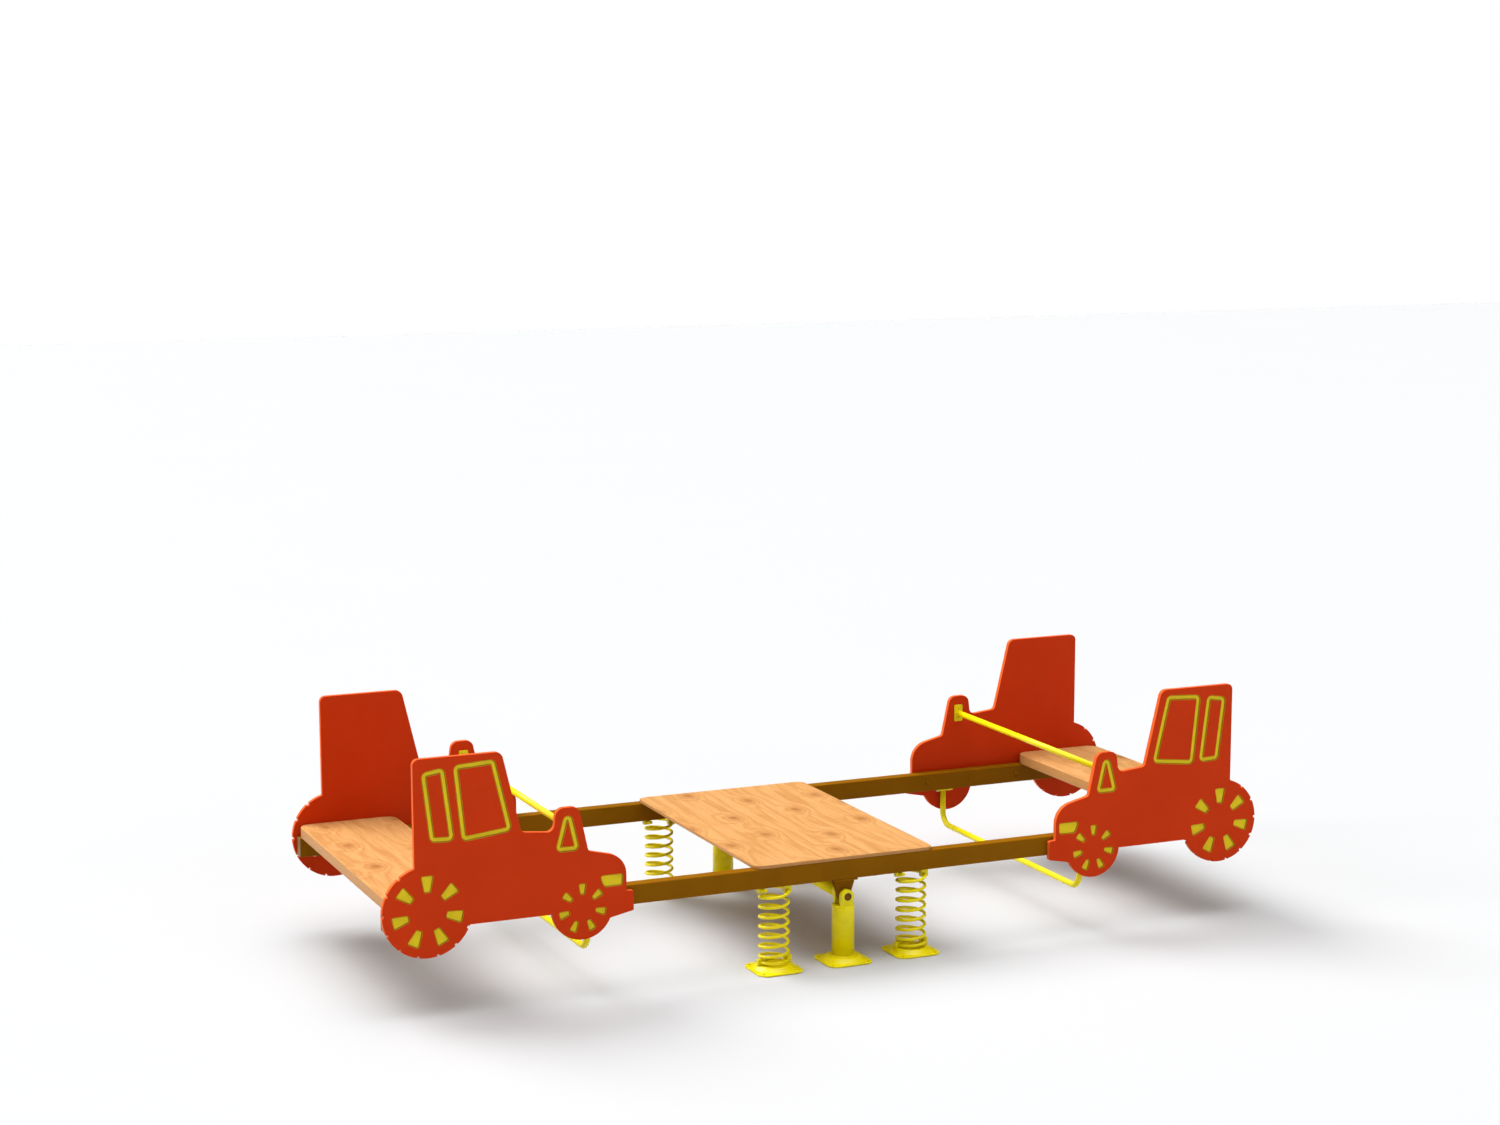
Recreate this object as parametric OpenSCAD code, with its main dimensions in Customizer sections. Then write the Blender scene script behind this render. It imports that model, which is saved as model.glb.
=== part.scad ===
// Platform seesaw on coil springs, with four tractor-shaped side panels.
// Origin: on the ground, under the centre of the seesaw. +X runs along the seesaw, +Y across it, +Z up.
// The seesaw is the same at both ends and on both sides, so each piece is drawn once, for the
// end at -X and the side at -Y, and mirrored to its other places.

/* [Overall] */
// Width over the outer faces of the side panels
overall_width = 1100; // [940:1:1400]
// Distance from the centre to the end of a rail
rail_reach = 1590; // [1340:1:1950]
// Height of the rails' undersides above the ground
rail_clearance = 284; // [262:1:340]
// Height of the rocking axis above the ground
pivot_height = 227; // [190:1:236]

/* [Rails] */
// Width of the box section
rail_w = 44; // [36:1:60]
// Height of the box section
rail_h = 66; // [55:1:90]
// Wall of the box section
rail_wall = 3; // [2:0.5:5]
// Thickness of an end cap outside the rail
cap_t = 4; // [3:1:6]
// Depth of an end cap's plug inside the rail
cap_plug = 16; // [10:1:30]
// Side of the square bearers that join the rails
bearer_side = 40; // [30:1:48]

/* [Side panels] */
// Thickness of the sheet
panel_t = 19; // [15:1:25]
// Depth of the engraved pockets and lines
engraving = 4.5; // [3:0.5:6]
// Width of an engraved line
line_w = 17; // [12:0.5:20]
// Distance from the rail's end back to the rear wheel's centre
wheel_inset = 135; // [110:1:170]
// Radius of the rear wheel
rear_wheel_r = 148; // [124:1:160]
// Radius of the front wheel
front_wheel_r = 103; // [92:1:112]
// Notches round the rear wheel's rim
tread_count = 14; // [8:1:28]
// Wedge pockets in each wheel
pocket_count = 7; // [5:1:9]

/* [Deck and seats] */
// Length of the deck along the seesaw
deck_length = 660; // [550:10:800]
// Thickness of the deck
deck_t = 12; // [12:1:18]
// Depth of a seat along the seesaw
seat_depth = 344; // [286:1:414]
// Thickness of a seat
seat_t = 38; // [30:1:46]
// Gap between a seat's outer edge and the rail's end
seat_setback = 6; // [0:1:12]

/* [Springs] */
// Distance from the centre to a spring's axis
spring_x = 254; // [220:1:420]
// Outside diameter of a spring
spring_od = 106; // [88:1:128]
// Diameter of the spring wire
wire_d = 10.6; // [9:0.1:12.8]
// Open turns of a spring
open_turns = 6.8; // [5.3:0.5:8.3]

/* [Base] */
// Side of a foot plate
foot_side = 163; // [150:1:200]
// Thickness of a foot plate
foot_t = 6; // [5:1:8]
// Height of the raised middle of a foot
foot_rise = 14; // [10:1:18]
// Diameter of the anchor holes
anchor_hole_d = 12; // [10:1:14]
// Distance between neighbouring anchor holes
anchor_spacing = 124; // [118:1:130]
// Outside diameter of a post
post_d = 76.1; // [70:0.1:92]
// Wall of a post
post_wall = 3.6; // [3:0.1:5]
// Outside diameter of a bearing eye
eye_d = 46; // [42:1:50]
// Width of each bearing eye
eye_w = 23; // [18:1:24]
// Diameter of a pivot pin
pin_d = 20; // [16:1:24]

/* [Handles and footrests] */
// Outside diameter of the tube
tube_d = 21.3; // [18:0.1:26.9]
// Wall of the tube
tube_wall = 2.6; // [2:0.1:3.2]
// Height of a handle bar's centre above the rails' undersides
handle_lift = 282; // [235:1:300]
// Distance from a handle bar back to the rear wheel's centre
handle_offset = 470; // [460:1:480]
// Distance from a footrest back to the rear wheel's centre
footrest_offset = 543; // [500:1:600]
// Height of a footrest's crossbar above the ground
footrest_height = 148; // [130:1:180]
// Bend radius of a footrest tube
bend_r = 52; // [44:1:62]

/* [Hidden] */
$fn = 64;
ENDS = [["left", -1], ["right", 1]];
SIDES = [["near", -1], ["far", 1]];
function per_side(stem) = [for (s = SIDES) str(stem, "_", s[0])];
function per_end(stem) = [for (e = ENDS) str(stem, "_", e[0])];
function per_corner(stem) = [for (s = SIDES, e = ENDS) str(stem, "_", s[0], "_", e[0])];

// Clearances
slip = 0.2;          // radial play of a bolt in its hole
run = 0.05;          // radial play of a pivot pin in its bushes
side_play = 0.5;     // gap between a hanger's boss and each bearing eye
wire_play = 0.6;     // gap between a spring's wire and its clips
seat_gap = 0.3;      // gap between a spring and what it stands on

// Rails and everything set out from them
rail_outer = overall_width / 2 - panel_t;
rail_y = rail_outer - rail_w / 2;
rail_inner = rail_outer - rail_w;
rail_top = rail_clearance + rail_h;
rail_r = 4;
wheel_x = rail_reach - wheel_inset;
bearer_wall = 2.5;
seat_outer_x = rail_reach - seat_setback;
seat_mid_x = seat_outer_x - seat_depth / 2;
seat_corner_r = 40;
deck_corner_r = 33;
deck_bearer_x = deck_length / 2 - 130;

// Bolts: shank, head across flats, head height
bolt_d = 8;
bolt_af = 13;
bolt_head = 5.3;
screw_d = 6;
screw_head_d = 11;
screw_head = 3.3;
panel_bolt_reach = 12;
handle_screw_reach = 10;
panel_bolt_u = [0, 240, 440, 620];
deck_bolt_x = 120;
deck_bolt_reach = 9;
seat_bolt_reach = 28;
seat_bolt_inset = 50;
bearer_bolt_y = 250;

// Base
foot_top = foot_t + foot_rise;
foot_corner_r = 36;
boss_base_d = 140;
boss_top_d = spring_od + 6;
cap_plate = 5;
post_top = pivot_height - eye_d / 2 - 9;
eye_outer = post_d / 2;
bush_d = pin_d + 6;
eye_gap = post_d - 2 * eye_w;
cross_tube_d = 42.4;
cross_tube_wall = 3.2;
pin_recess = 2;

// Hangers
hanger_boss_d = eye_d - 2;
hanger_web = 16;
hanger_flange = 6;
hanger_flange_l = 90;
hanger_top_w = 80;

// Springs: the wire starts behind the axis and climbs anticlockwise, seen from above
coil_r = (spring_od - wire_d) / 2;
coil_start = 72;
closed_turns = 1;
top_turns = 0.6;
closed_rise = wire_d + 2.5;
top_rise = 12;
coil_bottom = foot_top + wire_d / 2 + seat_gap;
coil_top = rail_clearance - wire_d / 2 - wire_play;
coil_steps = 20;
wire_sides = 8;
clip_w = 18;
clip_l = 26;
clip_cover = 3.5;

// Handles and footrests
handle_plate = [34, 64, 4];
handle_x = wheel_x - handle_offset;
handle_z = rail_clearance + handle_lift;
handle_screw_z = 22;
footrest_plate = [66, 40, 5];
footrest_x = wheel_x - footrest_offset;
footrest_bolt_x = 22;

// Corner of an outline: an arc of radius r between the straight runs a-b and b-c
function unit(v) = v / norm(v);
function rounded_corner(a, b, c, r, steps) =
    let (back = unit(a - b), on = unit(c - b), half = acos(back * on) / 2,
         centre = b + unit(back + on) * r / sin(half),
         from = b + back * r / tan(half) - centre,
         to = b + on * r / tan(half) - centre,
         start = atan2(from[1], from[0]),
         turn = atan2(to[1], to[0]) - start,
         sweep = turn > 180 ? turn - 360 : turn < -180 ? turn + 360 : turn)
    [for (i = [0:steps]) centre + r * [cos(start + sweep * i / steps), sin(start + sweep * i / steps)]];
// Outline from corners given as [x, y, radius]; radius 0 leaves a sharp corner
function outline(corners, steps = 8) =
    let (n = len(corners), at = function (i) [corners[i % n][0], corners[i % n][1]])
    [for (i = [0:n - 1])
        each corners[i][2] == 0 ? [at(i)] : rounded_corner(at(i + n - 1), at(i), at(i + 1), corners[i][2], steps)];
function rectangle(w, h, r) =
    outline([[-w / 2, -h / 2, r], [w / 2, -h / 2, r], [w / 2, h / 2, r], [-w / 2, h / 2, r]]);

// Moves a piece drawn for the end at -X and the side at -Y to another corner
module mirrored(end, side) {
    mirror([end > 0 ? 1 : 0, 0, 0])
        mirror([0, side > 0 ? 1 : 0, 0])
            children();
}

// Cylinder along Y, from y0 to y1
module y_rod(d, y0, y1) {
    translate([0, y1, 0])
        rotate([90, 0, 0])
            cylinder(d = d, h = y1 - y0);
}

// Hex-head bolt with its head's face at the origin and its shank along +Z
module bolt(shank) {
    translate([0, 0, -bolt_head])
        cylinder(d = bolt_af / cos(30), h = bolt_head, $fn = 6);
    cylinder(d = bolt_d, h = shank);
}

// ---- Base ----

module foot() {
    color("gold") difference() {
        union() {
            linear_extrude(foot_t) polygon(rectangle(foot_side, foot_side, foot_corner_r));
            translate([0, 0, foot_t])
                cylinder(d1 = boss_base_d, d2 = boss_top_d, h = foot_rise);
        }
        for (x = [-1, 1], y = [-1, 1])
            translate([x * anchor_spacing / 2, y * anchor_spacing / 2, -1])
                cylinder(d = anchor_hole_d, h = foot_t + foot_rise);
    }
}

module post_foot(side) {
    translate([0, side * rail_y, 0]) foot();
}

module spring_foot(end, side) {
    translate([end * spring_x, side * rail_y, 0]) foot();
}

// Post with a cap plate and two bearing eyes, which hold the pivot pin on both sides of the hanger
module post(side) {
    color("gold") translate([0, side * rail_y, 0]) {
        difference() {
            translate([0, 0, foot_top])
                cylinder(d = post_d, h = post_top - foot_top);
            translate([0, 0, foot_top - 1])
                cylinder(d = post_d - 2 * post_wall, h = post_top - foot_top - cap_plate + 1);
        }
        for (y = [-eye_outer, eye_outer - eye_w]) difference() {
            union() {
                translate([0, 0, pivot_height]) y_rod(eye_d, y, y + eye_w);
                intersection() {
                    translate([-eye_d / 2, y, post_top])
                        cube([eye_d, eye_w, pivot_height - post_top]);
                    cylinder(d = post_d, h = pivot_height);
                }
            }
            translate([0, 0, pivot_height]) y_rod(bush_d, y - 1, y + eye_w + 1);
        }
    }
}

// Plain bearing bushes, one in each eye of a post
module bushes(side) {
    color("dimgray") translate([0, side * rail_y, pivot_height])
        for (y = [-eye_outer, eye_outer - eye_w]) difference() {
            y_rod(bush_d, y, y + eye_w);
            y_rod(pin_d + 2 * run, y - 1, y + eye_w + 1);
        }
}

// Tube that ties the two posts together on the rocking axis
module cross_tube() {
    reach = rail_y - eye_outer;
    color("gold") translate([0, 0, pivot_height]) difference() {
        y_rod(cross_tube_d, -reach, reach);
        y_rod(cross_tube_d - 2 * cross_tube_wall, -reach - 1, reach + 1);
    }
}

// ---- Springs ----

// Height of the wire's centre after a number of turns
total_turns = closed_turns + open_turns + top_turns;
function coil_z(turn) =
    let (low = coil_bottom + closed_rise, high = coil_top - top_rise)
    turn < closed_turns ? coil_bottom + closed_rise * turn / closed_turns
    : turn < closed_turns + open_turns ? low + (high - low) * (turn - closed_turns) / open_turns
    : high + top_rise * (turn - closed_turns - open_turns) / top_turns;
// Turn at which the wire passes an angle, counted from its first or its last pass
function pass_from_start(angle) = ((angle - coil_start) % 360 + 360) % 360 / 360;
function pass_from_end(angle) = floor(total_turns - pass_from_start(angle)) + pass_from_start(angle);

// Stretch of wire between two of its rings, in a spring's own place
module wire(first, last, d) {
    points = [for (i = [first:last], k = [0:wire_sides - 1])
        let (turn = i / coil_steps, angle = coil_start + 360 * turn, around = 360 * k / wire_sides,
             radius = coil_r + d / 2 * cos(around))
        [radius * cos(angle), radius * sin(angle), coil_z(turn) + d / 2 * sin(around)]];
    tube = [for (i = [0:last - first - 1], k = [0:wire_sides - 1])
        let (a = i * wire_sides + k, b = i * wire_sides + (k + 1) % wire_sides)
        [a, b, b + wire_sides, a + wire_sides]];
    start = [for (k = [wire_sides - 1:-1:0]) k];
    finish = [for (k = [0:wire_sides - 1]) (last - first) * wire_sides + k];
    polyhedron(points, concat(tube, [start, finish]), convexity = 10);
}

module spring(end, side) {
    color("yellow") translate([end * spring_x, side * rail_y, 0])
        wire(0, round(total_turns * coil_steps), wire_d);
}

// Block round the wire at one of its turns, from the height low to the height high
module clip(turn, low, high) {
    ring = round(turn * coil_steps);
    angle = coil_start + 360 * turn;
    color("goldenrod") difference() {
        rotate(angle) translate([coil_r - clip_l / 2, -clip_w / 2, low])
            cube([clip_l, clip_w, high - low]);
        wire(ring - 2, ring + 2, wire_d + 2 * wire_play);
    }
}

// Clips on a foot that hold the spring's first turn
module lower_clips(end, side) {
    translate([end * spring_x, side * rail_y, 0]) for (angle = [0, 180]) {
        turn = pass_from_start(angle);
        clip(turn, foot_top, coil_z(turn) + wire_d / 2 + wire_play + clip_cover);
    }
}

// Clips under a rail that hold the spring's last turn
module upper_clips(end, side) {
    translate([end * spring_x, side * rail_y, 0]) for (angle = [0, 180]) {
        turn = pass_from_end(angle);
        clip(turn, coil_z(turn) - wire_d / 2 - wire_play - clip_cover, rail_clearance);
    }
}

// ---- Rails ----

module rail_holes() {
    for (e = [-1, 1]) {
        for (u = panel_bolt_u)
            translate([e * (wheel_x - u), 0, rail_clearance + rail_h / 2])
                y_rod(bolt_d + 2 * slip, -rail_w, rail_w);
        for (x = [seat_outer_x - seat_bolt_inset, seat_outer_x - seat_depth + seat_bolt_inset, deck_bolt_x])
            translate([e * x, 0, rail_clearance - 1])
                cylinder(d = bolt_d + 2 * slip, h = rail_h + 2);
        for (x = [-footrest_bolt_x, footrest_bolt_x])
            translate([e * (footrest_x + x), 0, rail_clearance - 1])
                cylinder(d = bolt_d + 2 * slip, h = rail_wall + 2);
    }
}

module rail(side) {
    tube = 2 * (rail_reach - cap_t);
    color("saddlebrown") translate([0, side * rail_y, 0]) difference() {
        translate([-tube / 2, 0, rail_clearance + rail_h / 2])
            rotate([90, 0, 90])
                linear_extrude(tube) difference() {
                    polygon(rectangle(rail_w, rail_h, rail_r));
                    square([rail_w - 2 * rail_wall, rail_h - 2 * rail_wall], center = true);
                }
        rail_holes();
    }
}

// Plugs that close the ends of a rail
module end_caps(side) {
    plug = [rail_w - 2 * rail_wall - 2 * slip, rail_h - 2 * rail_wall - 2 * slip];
    color("saddlebrown") translate([0, side * rail_y, rail_clearance + rail_h / 2])
        for (e = [0, 1]) mirror([e, 0, 0]) {
            translate([-rail_reach, 0, 0]) rotate([90, 0, 90])
                linear_extrude(cap_t) polygon(rectangle(rail_w, rail_h, rail_r));
            translate([-rail_reach + cap_t, 0, 0]) rotate([90, 0, 90])
                linear_extrude(cap_plug) square(plug, center = true);
        }
}

// Bracket that hangs from a rail between the two bearing eyes
module hanger(side) {
    boss_w = eye_gap - 2 * side_play;
    flange_z = rail_clearance - hanger_flange;
    color("saddlebrown") translate([0, side * rail_y, 0]) difference() {
        union() {
            translate([-hanger_flange_l / 2, -rail_w / 2, flange_z])
                cube([hanger_flange_l, rail_w, hanger_flange]);
            translate([0, hanger_web / 2, 0]) rotate([90, 0, 0])
                linear_extrude(hanger_web)
                    polygon([[-hanger_boss_d / 2, pivot_height], [hanger_boss_d / 2, pivot_height],
                             [hanger_top_w / 2, flange_z], [-hanger_top_w / 2, flange_z]]);
            translate([0, 0, pivot_height]) y_rod(hanger_boss_d, -boss_w / 2, boss_w / 2);
        }
        translate([0, 0, pivot_height]) y_rod(pin_d, -boss_w, boss_w);
    }
}

// Pivot pin, fixed in a hanger and turning in the bushes
module pin(side) {
    reach = eye_outer - pin_recess;
    color("darkslategray") translate([0, side * rail_y, pivot_height]) y_rod(pin_d, -reach, reach);
}

// Square tube from rail to rail
module bearer(x) {
    color("saddlebrown") translate([x, rail_inner, rail_top - bearer_side / 2])
        rotate([90, 0, 0]) linear_extrude(2 * rail_inner) difference() {
            square(bearer_side, center = true);
            square(bearer_side - 2 * bearer_wall, center = true);
        }
}

module deck_bearer(end) {
    difference() {
        bearer(end * deck_bearer_x);
        for (y = [-bearer_bolt_y, bearer_bolt_y])
            translate([end * deck_bearer_x, y, rail_top - bearer_side - 1])
                cylinder(d = bolt_d + 2 * slip, h = bearer_side + 2);
    }
}

module seat_bearer(end) {
    bearer(end * seat_mid_x);
}

// ---- Deck and seats ----

module deck() {
    color("burlywood") translate([0, 0, rail_top]) difference() {
        linear_extrude(deck_t) polygon(rectangle(deck_length, 2 * rail_outer, deck_corner_r));
        for (x = [-1, 1], y = [-1, 1]) {
            translate([x * deck_bolt_x, y * rail_y, -1])
                cylinder(d = bolt_d + 2 * slip, h = deck_bolt_reach + 1 + slip);
            translate([x * deck_bearer_x, y * bearer_bolt_y, -1])
                cylinder(d = bolt_d + 2 * slip, h = deck_bolt_reach + 1 + slip);
        }
    }
}

// Bolts that come up through the rails and the bearers into the deck
module deck_bolts() {
    color("silver") for (x = [-1, 1], y = [-1, 1]) {
        translate([x * deck_bolt_x, y * rail_y, rail_clearance]) bolt(rail_h + deck_bolt_reach);
        translate([x * deck_bearer_x, y * bearer_bolt_y, rail_top - bearer_side])
            bolt(bearer_side + deck_bolt_reach);
    }
}

// Places of the bolts under a seat, from the seat's middle
module at_seat_bolts(end) {
    for (x = [-1, 1], y = [-1, 1])
        translate([end * seat_mid_x + x * (seat_depth / 2 - seat_bolt_inset), y * rail_y, 0])
            children();
}

module seat(end) {
    color("burlywood") difference() {
        translate([end * seat_mid_x, 0, rail_top])
            linear_extrude(seat_t) polygon(rectangle(seat_depth, 2 * rail_outer, seat_corner_r));
        at_seat_bolts(end) translate([0, 0, rail_top - 1])
            cylinder(d = bolt_d + 2 * slip, h = seat_bolt_reach + 1 + slip);
    }
}

module seat_bolts(end) {
    color("silver") at_seat_bolts(end)
        translate([0, 0, rail_clearance]) bolt(rail_h + seat_bolt_reach);
}

// ---- Side panels ----
// Panels are drawn flat: u runs from the rear wheel's centre towards the middle of the seesaw,
// v runs up from the rails' undersides.

rear_wheel = [0, 58];
front_wheel = [513.5, 12.5];
cab_rear_u = -41;
cab_top_v = 547;
cab_front_u = 248.5;
windscreen_foot = [311.5, 282];
stack_rear_u = 427.5;
stack_front_u = 503;
stack_top_v = 347;
stack_foot = [535, 198];
nose = [664, 167];
bumper_top_v = 54;
bumper_u = 688.5;
bumper_low_v = -13;
body_low_v = 3;
body_corners = [
    [cab_rear_u, rear_wheel[1], 0],
    [cab_rear_u, cab_top_v, 20],
    [cab_front_u, cab_top_v, 26],
    [windscreen_foot[0], windscreen_foot[1], 18],
    [stack_rear_u - 9, windscreen_foot[1] - 11, 24],
    [stack_rear_u, stack_top_v, 28],
    [stack_front_u, stack_top_v, 28],
    [stack_foot[0], stack_foot[1], 14],
    [nose[0], nose[1], 72],
    [nose[0], bumper_top_v, 4],
    [bumper_u, bumper_top_v - 2, 5],
    [bumper_u, bumper_low_v, 5],
    [front_wheel[0] + 66, bumper_low_v - 22, 0],
    [front_wheel[0], body_low_v, 0],
    [rear_wheel[0], body_low_v, 0]];

// Wedge pockets round a wheel's centre, wide side outwards
module wheel_pockets(centre, inner_r, outer_r, inner_w, outer_w) {
    for (i = [0:pocket_count - 1])
        translate(centre) rotate(90 + 360 * i / pocket_count)
            polygon(outline([[inner_r, -inner_w / 2, 7], [outer_r, -outer_w / 2, 7],
                             [outer_r, outer_w / 2, 7], [inner_r, inner_w / 2, 7]], 4));
}

// Line engraved round a closed figure: corners lie on the line's centre
module engraved_line(corners, r) {
    path = outline([for (c = corners) [c[0], c[1], r]], 5);
    difference() {
        offset(delta = line_w / 2) polygon(path);
        offset(delta = -line_w / 2) polygon(path);
    }
}

module engravings() {
    wheel_pockets(rear_wheel, 0.42 * rear_wheel_r, 0.79 * rear_wheel_r, 22, 43);
    wheel_pockets(front_wheel, 0.43 * front_wheel_r, 0.79 * front_wheel_r, 15, 28);
    engraved_line([[-6.5, 496], [54.5, 506], [82.5, 284], [18.5, 287]], 12);
    engraved_line([[97.5, 511], [219.5, 518], [271.5, 297], [121.5, 280]], 12);
    engraved_line([[467, 340], [432.5, 212], [496.5, 212]], 9);
    polygon(outline([[572, 113, 9], [652, 113, 7], [650, 74, 9], [586, 73, 16]], 5));
}

module tread_notches() {
    for (i = [0:tread_count - 1])
        translate(rear_wheel) rotate(360 * i / tread_count)
            translate([rear_wheel_r - 6, -4.5]) square([12, 9]);
}

module panel_blank() {
    linear_extrude(panel_t) polygon(outline(body_corners));
    translate(front_wheel) cylinder(r = front_wheel_r, h = panel_t);
    difference() {
        translate(rear_wheel) cylinder(r = rear_wheel_r, h = panel_t);
        translate([0, 0, -1]) linear_extrude(panel_t + 2) tread_notches();
    }
}

// Places a flat drawing against the rail's outer face at the near left corner
module on_panel() {
    translate([-wheel_x, -rail_outer, rail_clearance]) rotate([90, 0, 0]) children();
}

module panel(end, side) {
    color("firebrick") mirrored(end, side) on_panel() difference() {
        panel_blank();
        translate([0, 0, panel_t - engraving]) linear_extrude(engraving + 1) engravings();
        for (u = panel_bolt_u) translate([u, rail_h / 2, -1])
            cylinder(d = bolt_d + 2 * slip, h = panel_bolt_reach + 1 + slip);
        for (v = [-handle_screw_z, handle_screw_z]) translate([handle_offset, handle_lift + v, -1])
            cylinder(d = screw_d + 2 * slip, h = handle_screw_reach + 1 + slip);
    }
}

// Bolts through a rail into the back of a panel
module panel_bolts(end, side) {
    color("silver") mirrored(end, side) on_panel()
        for (u = panel_bolt_u) translate([u, rail_h / 2, -rail_w]) bolt(rail_w + panel_bolt_reach);
}

// ---- Handles and footrests ----

// Handle bar with a plate welded to each end
module handle(end) {
    bar_reach = rail_outer - handle_plate[2];
    color("yellow") translate([end * handle_x, 0, handle_z]) difference() {
        union() {
            y_rod(tube_d, -bar_reach, bar_reach);
            for (s = [-1, 1]) translate([0, s * (rail_outer - handle_plate[2] / 2), 0])
                cube([handle_plate[0], handle_plate[2], handle_plate[1]], center = true);
        }
        y_rod(tube_d - 2 * tube_wall, -bar_reach, bar_reach);
        for (v = [-handle_screw_z, handle_screw_z]) translate([0, 0, v])
            y_rod(screw_d + 2 * slip, -overall_width, overall_width);
    }
}

// Button-head screws through a handle's plates into the panels
module handle_screws(end) {
    color("silver") for (side = [-1, 1], v = [-handle_screw_z, handle_screw_z])
        mirrored(end, side) on_panel() translate([handle_offset, handle_lift + v, 0]) {
            translate([0, 0, -handle_plate[2]])
                cylinder(d = screw_d, h = handle_plate[2] + handle_screw_reach);
            translate([0, 0, -handle_plate[2] - screw_head]) cylinder(d = screw_head_d, h = screw_head);
        }
}

// One leg of a footrest with its plate, its bend and half the crossbar; d is the round section's diameter
module footrest_half(d, leg_top) {
    translate([0, -rail_y, footrest_height + bend_r])
        cylinder(d = d, h = leg_top - footrest_height - bend_r);
    translate([0, -rail_y + bend_r, footrest_height + bend_r])
        rotate([90, 0, -90]) rotate_extrude(angle = 90, start = 270) translate([bend_r, 0]) circle(d = d);
    translate([0, 0, footrest_height]) y_rod(d, -rail_y + bend_r, 0);
}

module footrest(end) {
    plate_z = rail_clearance - footrest_plate[2];
    color("yellow") translate([end * footrest_x, 0, 0]) for (s = [0, 1]) mirror([0, s, 0]) difference() {
        union() {
            footrest_half(tube_d, plate_z);
            translate([-footrest_plate[0] / 2, -rail_y - footrest_plate[1] / 2, plate_z])
                cube(footrest_plate);
        }
        footrest_half(tube_d - 2 * tube_wall, plate_z);
        for (x = [-footrest_bolt_x, footrest_bolt_x]) translate([x, -rail_y, plate_z - 1])
            cylinder(d = bolt_d + 2 * slip, h = footrest_plate[2] + 2);
    }
}

// Bolts up through a footrest's plates into the rails
module footrest_bolts(end) {
    color("silver") for (x = [-footrest_bolt_x, footrest_bolt_x], y = [-rail_y, rail_y])
        translate([end * footrest_x + x, y, rail_clearance - footrest_plate[2]])
            bolt(footrest_plate[2] + 2 * rail_wall + 6);
}

// ---- Nodes ----

for (s = SIDES) {
    post_foot(s[1]);
    post(s[1]);
    bushes(s[1]);
    rail(s[1]);
    end_caps(s[1]);
    hanger(s[1]);
    pin(s[1]);
}
for (s = SIDES, e = ENDS) {
    corner = str(s[0], "_", e[0]);
    spring_foot(e[1], s[1]);
    spring(e[1], s[1]);
    lower_clips(e[1], s[1]);
    upper_clips(e[1], s[1]);
    panel(e[1], s[1]);
    panel_bolts(e[1], s[1]);
}
for (e = ENDS) {
    deck_bearer(e[1]);
    seat_bearer(e[1]);
    seat(e[1]);
    seat_bolts(e[1]);
    handle(e[1]);
    handle_screws(e[1]);
    footrest(e[1]);
    footrest_bolts(e[1]);
}
cross_tube();
deck();
deck_bolts();
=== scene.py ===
"""Looks of a platform seesaw on coil springs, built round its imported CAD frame.

Sizes are in millimetres in the CAD frame: the origin is on the ground under the centre, +X runs
along the seesaw, +Y across it and +Z up. Meshes are written in metres.
"""
import logging
import math
from dataclasses import dataclass
from enum import Enum
from typing import Iterable, Sequence

import bmesh
import bpy
from mathutils import Matrix, Vector
from mathutils.geometry import tessellate_polygon


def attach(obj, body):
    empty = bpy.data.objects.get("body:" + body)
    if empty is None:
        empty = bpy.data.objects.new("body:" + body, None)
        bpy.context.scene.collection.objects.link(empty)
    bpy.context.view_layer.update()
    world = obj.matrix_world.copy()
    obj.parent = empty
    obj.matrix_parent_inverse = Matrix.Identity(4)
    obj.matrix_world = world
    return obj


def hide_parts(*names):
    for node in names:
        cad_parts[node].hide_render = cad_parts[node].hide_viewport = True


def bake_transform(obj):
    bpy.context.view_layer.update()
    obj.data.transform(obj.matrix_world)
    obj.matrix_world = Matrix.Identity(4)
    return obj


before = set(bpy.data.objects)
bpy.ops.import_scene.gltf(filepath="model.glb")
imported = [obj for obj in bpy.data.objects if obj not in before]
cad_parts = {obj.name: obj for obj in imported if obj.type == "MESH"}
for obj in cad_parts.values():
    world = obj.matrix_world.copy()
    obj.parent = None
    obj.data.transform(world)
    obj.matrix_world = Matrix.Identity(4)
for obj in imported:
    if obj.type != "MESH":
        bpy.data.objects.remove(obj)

LOG = logging.getLogger("seesaw")
MM = 0.001
NOISE_BAND = (0.3, 0.7)
SIGNS = (-1, 1)

Point = tuple[float, float]
Corner = tuple[float, float, float]
Colour = tuple[float, float, float]
Loop = list[Vector]
Row = list[bmesh.types.BMVert]
Socket = bpy.types.NodeSocket
Input = Socket | float | tuple[float, ...]


class Body(Enum):
    """The two rigid bodies of the seesaw."""

    BASE = "base"
    ROCKER = "rocker"


class End(Enum):
    """The two ends of the seesaw, with the sign of X."""

    LEFT = -1
    RIGHT = 1

    @property
    def word(self) -> str:
        """The end's name in node names."""
        return self.name.lower()


class Side(Enum):
    """The two long sides of the seesaw, with the sign of Y."""

    NEAR = -1
    FAR = 1

    @property
    def word(self) -> str:
        """The side's name in node names."""
        return self.name.lower()


# ---------------------------------------------------------------- finishes


def rgba(colour: Colour) -> tuple[float, ...]:
    """Returns a colour with full alpha."""
    return (*colour, 1.0)


def shade(colour: Colour, share: float) -> tuple[float, ...]:
    """Returns a colour made darker or lighter by a share."""
    return (*(min(1.0, c * share) for c in colour), 1.0)


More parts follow.
